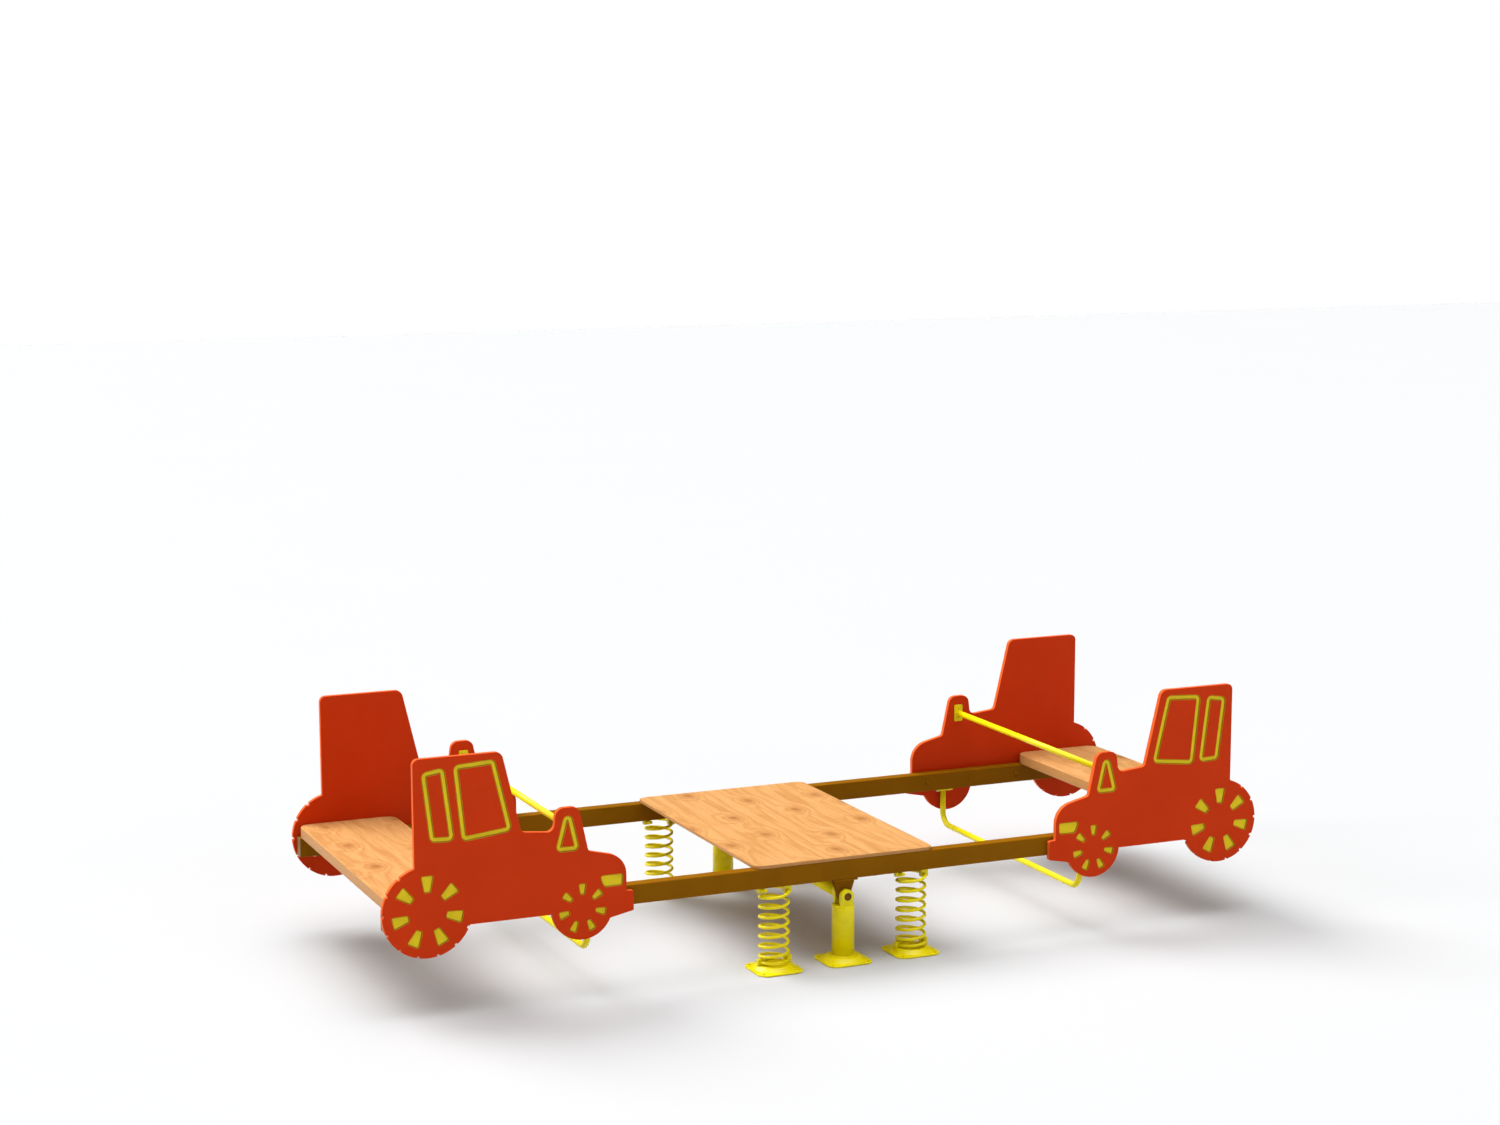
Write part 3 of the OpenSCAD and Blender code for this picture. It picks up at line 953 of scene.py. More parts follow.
@dataclass
class ButtonScrew:
    """A button-head screw with a hex socket, drawn like a bolt."""

    thread: float = 6.0
    head_diameter: float = 11.0
    head: float = 3.3
    socket: float = 4.0
    socket_depth: float = 2.0

    def draw(self, forge: Forge, place: Matrix, shank: float) -> None:
        """Draws the screw.

        Args:
            forge: where it is drawn.
            place: the underside of its head.
            shank: the shank's length.
        """
        forge.at(place @ UPSIDE_DOWN)
        rim, top = self.head_diameter / 2, self.head
        button = [(0, 0.0), (0, 0.7), (0.35, 1.5), (1.1, 2.3), (2.1, 2.95), (rim - 3.1, top)]
        low, high = forge.wall(circle(rim, count=30), button)
        hexagon = circle(self.socket / math.sqrt(3), count=6)
        mouth, floor = forge.wall(hexagon, [(0, top), (0, top - self.socket_depth)], smooth=False)
        forge.cap(low)
        forge.cap(high, [mouth])
        forge.cap(floor)
        forge.at(place)
        radius = self.thread / 2
        forge.lathe([(radius, -0.3), (radius, shank - 0.6), (radius - 0.6, shank)], 16)


# ---------------------------------------------------------------- shared sizes


@dataclass(frozen=True)
class Layout:
    """Places that several pieces share."""

    width: float = 1100.0
    panel: float = 19.0
    rail_width: float = 44.0
    rail_height: float = 66.0
    rail_reach: float = 1590.0
    rail_low: float = 284.0
    pivot: float = 227.0
    spring_x: float = 254.0
    wheel_x: float = 1455.0
    seat_x: float = 1412.0
    bearer: float = 40.0
    deck_bearer_x: float = 200.0
    foot_top: float = 20.0

    @property
    def rail_outer(self) -> float:
        """Y of a rail's outer face."""
        return self.width / 2 - self.panel

    @property
    def rail_y(self) -> float:
        """Y of a rail's middle."""
        return self.rail_outer - self.rail_width / 2

    @property
    def rail_inner(self) -> float:
        """Y of a rail's inner face."""
        return self.rail_outer - self.rail_width

    @property
    def rail_middle(self) -> float:
        """Height of the rails' middle."""
        return self.rail_low + self.rail_height / 2

    @property
    def rail_top(self) -> float:
        """Height of the rails' top."""
        return self.rail_low + self.rail_height


LAYOUT = Layout()


# ---------------------------------------------------------------- base


@dataclass
class Foot:
    """A pressed foot plate: a rounded square flange, a raised middle and four anchor holes."""

    side: float = 163.0
    corner: float = 36.0
    flange: float = 6.0
    edge: float = 2.2
    hole: float = 12.0
    spacing: float = 124.0
    dome: tuple[Point, ...] = (
        (77.0, 6.0), (74.0, 6.3), (71.5, 7.2), (69.5, 8.9),
        (59.5, 17.0), (57.5, 18.6), (55.0, 19.6), (52.0, 20.0))

    def build(self, name: str, x: float, y: float) -> bpy.types.Object:
        """Builds one foot.

        Args:
            name: the CAD node it stands for.
            x: X of its middle.
            y: Y of its middle.

        Returns:
            The piece.
        """
        forge = Forge(name.capitalize()).at(shift(x, y))
        square = rounded_box(self.side, self.side, self.corner)
        under, over = forge.wall(square, easing(0, self.flange, self.edge, 4))
        half = self.spacing / 2
        holes = [circle(self.hole / 2, (i * half, j * half), 24) for i in SIGNS for j in SIGNS]
        mouths = [forge.wall(hole, mouth_rows(0, self.flange, 0.4, 0.7)) for hole in holes]
        rows = [forge.row(circle(radius, count=72), height) for radius, height in self.dome]
        forge.stack(rows)
        forge.cap(rows[-1])
        forge.cap(under, [lower for lower, _ in mouths])
        forge.cap(over, [rows[0], *[upper for _, upper in mouths]])
        return stand_in(forge, Body.BASE, name, YELLOW_COAT)


@dataclass
class Post:
    """A round post with a cap and the two eyes that hold the pivot pin."""

    diameter: float = 76.1
    top: float = 195.0
    eye: float = 46.0
    eye_width: float = 23.0
    eye_root: float = 8.0
    eye_edge: float = 1.2
    bore: float = 26.0

    def eye_outline(self) -> Loop:
        """Draws an eye's outline: a half circle on straight sides.

        Returns:
            Its points as (x, height).
        """
        half, root, steps = self.eye / 2, self.top - self.eye_root, 6
        heights = [root + i * (LAYOUT.pivot - root) / steps for i in range(steps)]
        sides = [Vector((half, z)) for z in heights]
        dome = arc((0, LAYOUT.pivot), half, 0, 180, 5)
        return sides + dome + [Vector((-p.x, p.y)) for p in reversed(sides)]

    def outer_face(self, x: float, z: float) -> float:
        """Finds how far out an eye reaches: flush with the round post below, flat above.

        Args:
            x: X of the spot.
            z: its height.

        Returns:
            The distance from the post's axis.
        """
        radius = self.diameter / 2
        share = min(1.0, max(0.0, (LAYOUT.pivot - z) / (LAYOUT.pivot - self.top)))
        share = share * share * (3 - 2 * share)
        return radius - share * (radius - math.sqrt(max(0.0, radius * radius - x * x)))

    def eye_row(self, forge: Forge, way: int, loop: Loop, depth: float) -> Row:
        """Adds one row of an eye.

        Args:
            forge: where it is drawn.
            way: the side of the post, -1 or 1.
            loop: the row's outline as (x, height).
            depth: its distance from the post's axis, or from the outer face where it is 0 or less.

        Returns:
            The row.
        """
        outs = [depth if depth > 0 else self.outer_face(p.x, p.y) + depth for p in loop]
        return forge.ring([Vector((p.x, way * out, p.y)) for p, out in zip(loop, outs)])

    def draw_eye(self, forge: Forge, way: int) -> None:
        """Draws one eye.

        Args:
            forge: where it is drawn.
            way: the side of the post, -1 or 1.
        """
        outline, edge = self.eye_outline(), self.eye_edge
        bore = circle(self.bore / 2, (0, LAYOUT.pivot), 40)
        inner = self.diameter / 2 - self.eye_width
        skin = [(outline, edge, inner), (outline, 0, inner + edge), (outline, 0, -edge),
                (outline, edge * 0.3, -edge * 0.3), (outline, edge, 0.0)]
        hole = [(bore, -0.5, inner), (bore, 0, inner + 0.5), (bore, 0, -0.8), (bore, -0.8, 0.0)]
        bands = []
        for band in (skin, hole):
            rows = [self.eye_row(forge, way, inset(loop, by) if by else loop, depth)
                    for loop, by, depth in band]
            forge.stack(rows)
            bands.append(rows)
        for k in (0, -1):
            forge.cap(bands[0][k], [bands[1][k]], upright=True)

    def build(self, side: Side) -> bpy.types.Object:
        """Builds the post on one side.

        Args:
            side: the side it stands on.

        Returns:
            The piece.
        """
        forge = Forge(f"Post_{side.word}").at(shift(0, side.value * LAYOUT.rail_y))
        radius, foot, top = self.diameter / 2, LAYOUT.foot_top, self.top
        cap = [(radius, top - 3.5), (radius - 0.9, top - 1.2), (radius - 3.2, top)]
        forge.lathe([(radius, foot - 1), *cap], 72)
        forge.bead(radius + 0.6, foot + 0.6, 2.6, 120)
        for way in SIGNS:
            self.draw_eye(forge, way)
        return stand_in(forge, Body.BASE, f"post_{side.word}", YELLOW_COAT)


@dataclass
class PivotLine:
    """What lies on the rocking axis: the tube between the posts, the bushes and the pins."""

    tube: float = 42.4
    bush: float = 26.0
    bush_edge: float = 0.4
    pin: float = 20.0
    pin_play: float = 0.05
    eye_width: float = 23.0
    reach: float = 38.05
    recess: float = 2.0

    def axis(self, y: float) -> Matrix:
        """Returns the place on the rocking axis at a Y, with Z along the axis."""
        return shift(0, y, LAYOUT.pivot) @ ALONG_Y

    def build_tube(self) -> bpy.types.Object:
        """Builds the tube that ties the two posts.

        Returns:
            The piece.
        """
        forge = Forge("Cross_tube").at(self.axis(0))
        half = LAYOUT.rail_y - self.reach
        radius = self.tube / 2
        forge.lathe([(radius, -half), (radius, half)], 56)
        for end in (-half + 1.2, half - 1.2):
            forge.bead(radius + 0.4, end, 2.0, 96)
        return stand_in(forge, Body.BASE, "cross_tube", YELLOW_COAT)

    def build_bushes(self, side: Side) -> bpy.types.Object:
        """Builds the two bushes of one post.

        Args:
            side: the post's side.

        Returns:
            The piece.
        """
        forge = Forge(f"Bushes_{side.word}")
        outer, inner = self.bush / 2, self.pin / 2 + self.pin_play
        wide, edge = self.eye_width, self.bush_edge
        outside = [(inner + edge, 0), (outer - edge, 0), (outer, edge), (outer, wide - edge)]
        ends = [(outer - edge, wide), (inner + edge, wide), (inner, wide - edge), (inner, edge)]
        for low in (-self.reach, self.reach - wide):
            forge.at(self.axis(side.value * LAYOUT.rail_y) @ shift(z=low))
            forge.lathe(outside + ends, 40, closed=True)
        return stand_in(forge, Body.BASE, f"bushes_{side.word}", BUSH)

    def build_pin(self, side: Side) -> bpy.types.Object:
        """Builds the pivot pin of one side, with chamfered and centre-drilled ends.

        Args:
            side: its side.

        Returns:
            The piece.
        """
        forge = Forge(f"Pin_{side.word}").at(self.axis(side.value * LAYOUT.rail_y))
        half, radius = self.reach - self.recess, self.pin / 2
        drilled = [(0.4, half - 2.4), (2.2, half - 0.6), (2.8, half)]
        top = [*drilled, (radius - 1.2, half), (radius, half - 1.2)]
        forge.lathe([(r, -h) for r, h in top] + top[::-1], 40)
        return stand_in(forge, Body.ROCKER, f"pin_{side.word}", BROWN_COAT)


@dataclass
class CoilSpring:
    """A compression spring of round wire with its end turns closed."""

    outside: float = 106.0
    wire: float = 10.6
    start_angle: float = 72.0
    closed_turns: float = 1.0
    open_turns: float = 6.8
    top_turns: float = 0.6
    gap: float = 0.3
    play: float = 0.6
    turn_gap: float = 2.5
    top_rise: float = 12.0
    steps: int = 44
    sides: int = 18
    smoothing: float = 0.02
    rigid_turns: float = 0.6

    @property
    def turns(self) -> float:
        """All the spring's turns."""
        return self.closed_turns + self.open_turns + self.top_turns

    def height(self, turn: float) -> float:
        """Finds the height of the wire's middle.

        Args:
            turn: turns from the lower end.

        Returns:
            The height.
        """
        bottom = LAYOUT.foot_top + self.wire / 2 + self.gap
        top = LAYOUT.rail_low - self.wire / 2 - self.play
        low, high = bottom + self.wire + self.turn_gap, top - self.top_rise
        if turn < self.closed_turns:
            return bottom + (low - bottom) * turn / self.closed_turns
        if turn < self.closed_turns + self.open_turns:
            return low + (high - low) * (turn - self.closed_turns) / self.open_turns
        return high + self.top_rise * (turn - self.closed_turns - self.open_turns) / self.top_turns

    def eased_height(self, turn: float) -> float:
        """Finds the height of the wire's middle, with the changes of pitch evened out.

        Args:
            turn: turns from the lower end.

        Returns:
            The height.
        """
        if not 2 * self.smoothing < turn < self.turns - 2 * self.smoothing:
            return self.height(turn)
        return sum(self.height(turn + k * self.smoothing) for k in (-2, -1, 0, 1, 2)) / 5

    def build(self, side: Side, end: End) -> bpy.types.Object:
        """Builds one spring between its foot and its rail.

        Args:
            side: the side it stands on.
            end: the end it stands towards.

        Returns:
            The piece.
        """
        count = round(self.turns * self.steps)
        radius = (self.outside - self.wire) / 2
        x, y = end.value * LAYOUT.spring_x, side.value * LAYOUT.rail_y
        path = []
        for i in range(count + 1):
            turn = self.turns * i / count
            angle = math.radians(self.start_angle + 360 * turn)
            spot = (x + radius * math.cos(angle), y + radius * math.sin(angle))
            path.append(Vector((*spot, self.eased_height(turn))))
        forge = Forge(f"Spring_{side.word}_{end.word}")
        forge.sweep(path, self.wire / 2, self.sides)
        piece = forge.object()
        Paintbox.dress(piece, YELLOW_COAT)
        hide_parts(f"spring_{side.word}_{end.word}")
        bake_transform(piece)
        faces = len(piece.data.polygons)
        LOG.info("%s: %d faces, bends between base and rocker", piece.name, faces)
        return piece


@dataclass
class Base:
    """Everything that is fixed to the ground, and the springs that stand on it."""

    clip_weld: float = 0.02
    clip_edge: float = 1.2
    clip_crease: float = 50.0

    def build(self) -> None:
        """Builds the feet, posts, axis and springs."""
        foot, post, axis, spring = Foot(), Post(), PivotLine(), CoilSpring()
        for side in Side:
            y = side.value * LAYOUT.rail_y
            foot.build(f"post_foot_{side.word}", 0, y)
            post.build(side)
            axis.build_bushes(side)
            for end in End:
                foot.build(f"spring_foot_{side.word}_{end.word}", end.value * LAYOUT.spring_x, y)
                spring.build(side, end)
                self.dress_clips(side, end)
        axis.build_tube()

    def dress_clips(self, side: Side, end: End) -> None:
        """Softens and colours the clips at both ends of one spring.

        Args:
            side: the spring's side.
            end: the spring's end.
        """
        for stem in ("lower_clips", "upper_clips"):
            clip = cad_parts[f"{stem}_{side.word}_{end.word}"]
            weld = clip.modifiers.new("Weld", "WELD")
            weld.merge_threshold = self.clip_weld * MM
            ease = clip.modifiers.new("Ease", "BEVEL")
            ease.width, ease.segments = self.clip_edge * MM, 3
            ease.angle_limit = math.radians(self.clip_crease)
            Paintbox.dress(clip, YELLOW_COAT)
            LOG.info("%s_%s_%s: dressed", stem, side.word, end.word)


# ---------------------------------------------------------------- rocking frame


@dataclass
class RockingFrame:
    """The rails with their caps, hangers and bearers."""

    corner: float = 4.0
    cap: float = 4.0
    cap_edge: float = 1.6
    rail_wall: float = 3.2
    plug_depth: float = 16.0
    hanger_flange: tuple[float, float] = (90.0, 6.0)
    hanger_web: float = 16.0
    hanger_half_top: float = 40.0
    boss_radius: float = 22.0
    boss_half: float = 14.55
    bearer_corner: float = 3.0
    weld_radius: float = 1.9
    weld_step: float = 1.6
    weld_ripple: float = 0.35

    def build_rail(self, side: Side) -> None:
        """Builds one rail and the caps in its ends.

        Args:
            side: the rail's side.
        """
        middle = shift(0, side.value * LAYOUT.rail_y, LAYOUT.rail_middle)
        width, height = LAYOUT.rail_width, LAYOUT.rail_height
        outline = rounded_box(width, height, self.corner)
        reach = LAYOUT.rail_reach - self.cap
        forge = Forge(f"Rail_{side.word}").at(middle @ ALONG_X)
        forge.slab(outline, -reach, reach, 0.3)
        stand_in(forge, Body.ROCKER, f"rail_{side.word}", BROWN_COAT)
        forge = Forge(f"End_caps_{side.word}")
        plug = rounded_box(width - 2 * self.rail_wall, height - 2 * self.rail_wall, 2)
        for end in End:
            forge.at(middle @ Matrix.Diagonal((end.value, 1, 1, 1)) @ ALONG_X)
            forge.slab(outline, reach, LAYOUT.rail_reach, self.cap_edge)
            forge.slab(plug, reach - self.plug_depth, reach + 0.5, 1.0)
        stand_in(forge, Body.ROCKER, f"end_caps_{side.word}", BROWN_CAP)

    def build_hanger(self, side: Side) -> None:
        """Builds the bracket that hangs from one rail.

        Args:
            side: the rail's side.
        """
        forge = Forge(f"Hanger_{side.word}")
        y, (length, thick) = side.value * LAYOUT.rail_y, self.hanger_flange
        low = LAYOUT.rail_low - thick
        flange = rounded_box(length, LAYOUT.rail_width, 4)
        forge.at(shift(0, y)).slab(flange, low, LAYOUT.rail_low, 0.9)
        boss, half_top, weld_z = self.boss_radius, self.hanger_half_top, low + 1
        out = Vector((half_top, weld_z - LAYOUT.pivot))
        turn = math.degrees(math.atan2(out.y, out.x) - math.acos(boss / out.length))
        web = [Vector((half_top, weld_z)), Vector((-half_top, weld_z))]
        web += arc((0, LAYOUT.pivot), boss, 180 - turn, 360 + turn, 6)
        forge.at(shift(0, y) @ ALONG_Y).slab(web, -self.hanger_web / 2, self.hanger_web / 2, 1.0)
        forge.at(shift(0, y, LAYOUT.pivot) @ ALONG_Y)
        half = self.boss_half
        forge.lathe([(boss - 1, -half), (boss, 1 - half), (boss, half - 1), (boss - 1, half)])
        stand_in(forge, Body.ROCKER, f"hanger_{side.word}", BROWN_COAT)

    def draw_bearer_weld(self, forge: Forge, y: float) -> None:
        """Draws the weld under and beside a bearer where it meets a rail.

        Args:
            forge: where it is drawn.
            y: Y of the rail's face.
        """
        half = LAYOUT.bearer / 2
        out, top = half + 0.4, half - 3
        path = [Vector((u, v, y)) for u, v in ((out, top), (out, -out), (-out, -out), (-out, top))]
        for a, b in zip(path, path[1:]):
            count = max(2, round((b - a).length / self.weld_step))
            ripple = Vector((0, 0, self.weld_ripple))
            run = [a.lerp(b, i / count) + ripple * (i % 2) for i in range(count + 1)]
            forge.sweep(run, self.weld_radius, 8)

    def build_bearer(self, node: str, x: float) -> None:
        """Builds one square tube between the rails, with its welds.

        Args:
            node: the CAD node it stands for.
            x: X of its middle.
        """
        size, reach = LAYOUT.bearer, LAYOUT.rail_inner
        forge = Forge(node.capitalize()).at(shift(x, 0, LAYOUT.rail_top - size / 2) @ ALONG_Y)
        forge.slab(rounded_box(size, size, self.bearer_corner), -reach, reach, 0.3)
        for y in (-reach, reach):
            self.draw_bearer_weld(forge, y)
        stand_in(forge, Body.ROCKER, node, BROWN_COAT)

    def build(self) -> None:
        """Builds the whole frame."""
        for side in Side:
            self.build_rail(side)
            self.build_hanger(side)
            PivotLine().build_pin(side)
        for end in End:
            self.build_bearer(f"deck_bearer_{end.word}", end.value * LAYOUT.deck_bearer_x)
            self.build_bearer(f"seat_bearer_{end.word}", end.value * LAYOUT.seat_x)


@dataclass(frozen=True)
class Board:
    """The sizes of one board."""

    length: float
    thickness: float
    corner: float
    edge: float


@dataclass
class Boards:
    """The deck and the two seats, with the bolts that come up into them."""

    deck: Board = Board(660.0, 12.0, 33.0, 2.0)
    seat: Board = Board(344.0, 38.0, 40.0, 3.5)
    deck_rail_bolt_x: float = 120.0
    deck_rail_shank: float = 75.0
    deck_bearer_bolt_y: float = 250.0
    deck_bearer_shank: float = 49.0
    seat_bolt_inset: float = 50.0
    seat_shank: float = 94.0

    def build_board(self, node: str, board: Board, x: float) -> None:
        """Builds one board with rounded corners and edges.

        Args:
            node: the CAD node it stands for.
            board: its sizes.
            x: X of its middle.
        """
        forge = Forge(node.capitalize()).at(shift(x, 0, LAYOUT.rail_top))
        outline = rounded_box(board.length, 2 * LAYOUT.rail_outer, board.corner)
        under, over = forge.wall(outline, easing(0, board.thickness, board.edge, 5))
        forge.cap(under)
        forge.cap(over)
        stand_in(forge, Body.ROCKER, node, PLYWOOD)

    def build_bolts(self, node: str, spots: Sequence[tuple[float, ...]]) -> None:
        """Builds bolts from below.

        Args:
            node: the CAD node they stand for.
            spots: X, Y and height of the underside of each head, and the length of its shank.
        """
        forge = Forge(node.capitalize())
        for x, y, z, shank in spots:
            HexBolt().draw(forge, shift(x, y, z), shank)
        stand_in(forge, Body.ROCKER, node, ZINC)

    def build(self) -> None:
        """Builds the boards and their bolts."""
        self.build_board("deck", self.deck, 0)
        signs = [(x, y) for x in SIGNS for y in SIGNS]
        rail_y, rail_low = LAYOUT.rail_y, LAYOUT.rail_low
        bearer_low = LAYOUT.rail_top - LAYOUT.bearer
        spots = [(x * self.deck_rail_bolt_x, y * rail_y, rail_low, self.deck_rail_shank)
                 for x, y in signs]
        spots += [(x * LAYOUT.deck_bearer_x, y * self.deck_bearer_bolt_y, bearer_low,
                   self.deck_bearer_shank) for x, y in signs]
        self.build_bolts("deck_bolts", spots)
        reach = self.seat.length / 2 - self.seat_bolt_inset
        for end in End:
            middle = end.value * LAYOUT.seat_x
            self.build_board(f"seat_{end.word}", self.seat, middle)
            self.build_bolts(f"seat_bolts_{end.word}", [
                (middle + x * reach, y * rail_y, rail_low, self.seat_shank) for x, y in signs])


# ---------------------------------------------------------------- side panels


@dataclass(frozen=True)
class Wheel:
    """One wheel of a side panel, with its ring of engraved pockets.

    The pockets are given by their inner and outer ends, as shares of the wheel's radius, and by
    their widths there.
    """

    middle: Point
    radius: float
    ends: Point
    widths: Point
    pockets: int = 7
    pocket_corner: float = 7.0

    def outlines(self) -> list[Loop]:
        """Draws the wedge pockets, wide side outwards.

        Returns:
            Their anticlockwise outlines.
        """
        low, high = (self.radius * share for share in self.ends)
        inner, outer = (width / 2 for width in self.widths)
        spots = ((low, -inner), (high, -outer), (high, outer), (low, inner))
        wedge = rounded([(x, y, self.pocket_corner) for x, y in spots])
        turns = [Matrix.Rotation(math.pi / 2 + angle, 2) for angle in spokes(self.pockets)]
        return [[turn @ p + Vector(self.middle) for p in wedge] for turn in turns]


@dataclass
class TractorPanel:
    """A side panel cut to the outline of a tractor and engraved on its outer face.

    It is drawn flat, with u from the rear wheel's middle towards the middle of the seesaw and v up
    from the rails' undersides. The outline's corners are (u, v, radius).
    """

    rear: Wheel = Wheel((0.0, 58.0), 148.0, (0.42, 0.79), (22.0, 43.0))
    front: Wheel = Wheel((513.5, 12.5), 103.0, (0.43, 0.79), (15.0, 28.0))
    treads: int = 14
    tread_width: float = 9.0
    tread_depth: float = 6.0
    tread_margins: Point = (3.0, 2.5)
    belly: float = 3.0
    engraving: float = 4.5
    line: float = 17.0
    edge: float = 1.6
    bumper: tuple[Corner, ...] = (
        (579.5, -35.0, 0), (688.5, -13.0, 5), (688.5, 52.0, 5), (664.0, 54.0, 4))
    hood: tuple[Corner, ...] = (
        (664.0, 167.0, 72), (535.0, 198.0, 14), (503.0, 347.0, 28), (427.5, 347.0, 28))
    cab: tuple[Corner, ...] = (
        (418.5, 271.0, 24), (311.5, 282.0, 18), (248.5, 547.0, 26), (-41.0, 547.0, 20))
    windows: tuple[tuple[Corner, ...], ...] = (
        ((-6.5, 496.0, 12), (54.5, 506.0, 12), (82.5, 284.0, 12), (18.5, 287.0, 12)),
        ((97.5, 511.0, 12), (219.5, 518.0, 12), (271.5, 297.0, 12), (121.5, 280.0, 12)),
        ((467.0, 340.0, 9), (432.5, 212.0, 9), (496.5, 212.0, 9)))
    lamp: tuple[Corner, ...] = ((572, 113, 9), (652, 113, 7), (650, 74, 9), (586, 73, 16))
    lip: tuple[Point, ...] = ((0.0, 0.0), (0.3, 0.15), (0.7, 0.6))
    line_floor: tuple[Point, ...] = ((2.8, 1.1), (3.8, 0.2), (4.6, 0.0))
    dish_floor: tuple[Point, ...] = ((2.6, 1.1), (3.4, 0.2), (4.1, 0.0))
    lip_out: float = 0.4
    bolts_u: tuple[float, ...] = (0.0, 240.0, 440.0, 620.0)
    bolt_past_rail: float = 12.0

    def rear_rim(self) -> Loop:
        """Draws the seen arc of the rear wheel with its tread notches.

        Returns:
            Its points, anticlockwise from the cab down to the belly.
        """
        middle, radius, half_width = self.rear.middle, self.rear.radius, self.tread_width / 2
        back_u = self.cab[-1][0]
        start = math.degrees(math.acos(back_u / radius))
        stop = 360 - math.degrees(math.asin((middle[1] - self.belly) / radius))
        inner = math.hypot(radius - self.tread_depth, half_width)
        half_out = math.degrees(math.asin(half_width / radius))
        half_in = math.degrees(math.asin(half_width / inner))
        points, angle = [], start
        for k in range(self.treads):
            notch = 360 * k / self.treads
            if not start + self.tread_margins[0] < notch < stop - self.tread_margins[1]:
                continue
            points += arc(middle, radius, angle, notch - half_out, 3)
            points += arc(middle, inner, notch - half_in, notch + half_in, 3)
            angle = notch + half_out
        return points + arc(middle, radius, angle, stop, 3)

    def front_rim(self) -> Loop:
        """Draws the seen arc of the front wheel.

        Returns:
            Its points, anticlockwise from the belly to where it meets the bumper.
        """
        middle, radius = Vector(self.front.middle), self.front.radius
        start = 180 + math.degrees(math.asin((middle.y - self.belly) / radius))
        a, b = Vector(self.bumper[0][:2]), Vector(self.bumper[1][:2])
        way = (b - a).normalized()
        along = (middle - a).dot(way)
        off = (a + way * along - middle).length
        end = a + way * (along + math.sqrt(radius ** 2 - off ** 2))
        stop = 360 + math.degrees(math.atan2(end.y - middle.y, end.x - middle.x))
        return arc(self.front.middle, radius, start, stop, 3)

    def outline(self) -> Loop:
        """Joins the wheels, the bumper, the hood and the cab.

        Returns:
            The whole outline, anticlockwise.
        """
        rear, front = self.rear_rim(), self.front_rim()
        first, last = (*front[-1], 0), (*rear[0], 0)
        top = rounded([first, *self.bumper[1:], *self.hood, *self.cab, last], closed=False)
        return rear + front + top[1:-1]

    def cut(self, floor: Sequence[Point], out: float) -> list[Point]:
        """Gives the rows of an engraving's side, from the face down to its floor.

        Args:
            floor: rows near the floor, as (distance from the mouth, height over the floor).
            out: how far outside the outline the mouth lies.

        Returns:
            The rows as (inset, height).
        """
        face = LAYOUT.panel
        bottom = face - self.engraving
        return ([(u - out, face - v) for u, v in self.lip]
                + [(u - out, bottom + v) for u, v in floor])

    def build(self, side: Side, end: End) -> bpy.types.Object:
        """Builds one panel.

        Args:
            side: its side.
            end: its end.

        Returns:
            The piece.
        """
        node = f"panel_{side.word}_{end.word}"
        forge = Forge(node.capitalize())
        corner_place = shift(-LAYOUT.wheel_x, -LAYOUT.rail_outer, LAYOUT.rail_low)
        forge.at(mirrored(end, side) @ corner_place @ UPRIGHT)
        back, front = forge.wall(self.outline(), easing(0, LAYOUT.panel, self.edge, 4))
        mouths = []
        line = self.cut(self.line_floor, self.line / 2 + self.lip_out)
        line += [(-by, height) for by, height in reversed(line)]
        for window in self.windows:
            forge.coat = 1
            mouth, island = forge.wall(anticlockwise(rounded(window)), line)
            forge.coat = 0
            forge.cap(island)
            mouths.append(mouth)
        forge.coat = 1
        pockets = [*self.rear.outlines(), *self.front.outlines(), anticlockwise(rounded(self.lamp))]
        for pocket in pockets:
            mouth, bottom = forge.wall(pocket, self.cut(self.dish_floor, self.lip_out))
            forge.cap(bottom)
            mouths.append(mouth)
        forge.coat = 0
        forge.cap(back)
        forge.cap(front, mouths)
        return stand_in(forge, Body.ROCKER, node, RED_SHEET, ENGRAVING)

    def build_bolts(self, side: Side, end: End) -> None:
        """Builds the bolts through the rail into the back of one panel.

        Args:
            side: the panel's side.
            end: the panel's end.
        """
        node = f"panel_bolts_{side.word}_{end.word}"
        forge = Forge(node.capitalize())
        for u in self.bolts_u:
            spot = shift(u - LAYOUT.wheel_x, -LAYOUT.rail_inner, LAYOUT.rail_middle) @ tilt(90)
            shank = LAYOUT.rail_width + self.bolt_past_rail
            HexBolt().draw(forge, mirrored(end, side) @ spot, shank)
        stand_in(forge, Body.ROCKER, node, BROWN_COAT)


# ---------------------------------------------------------------- bars


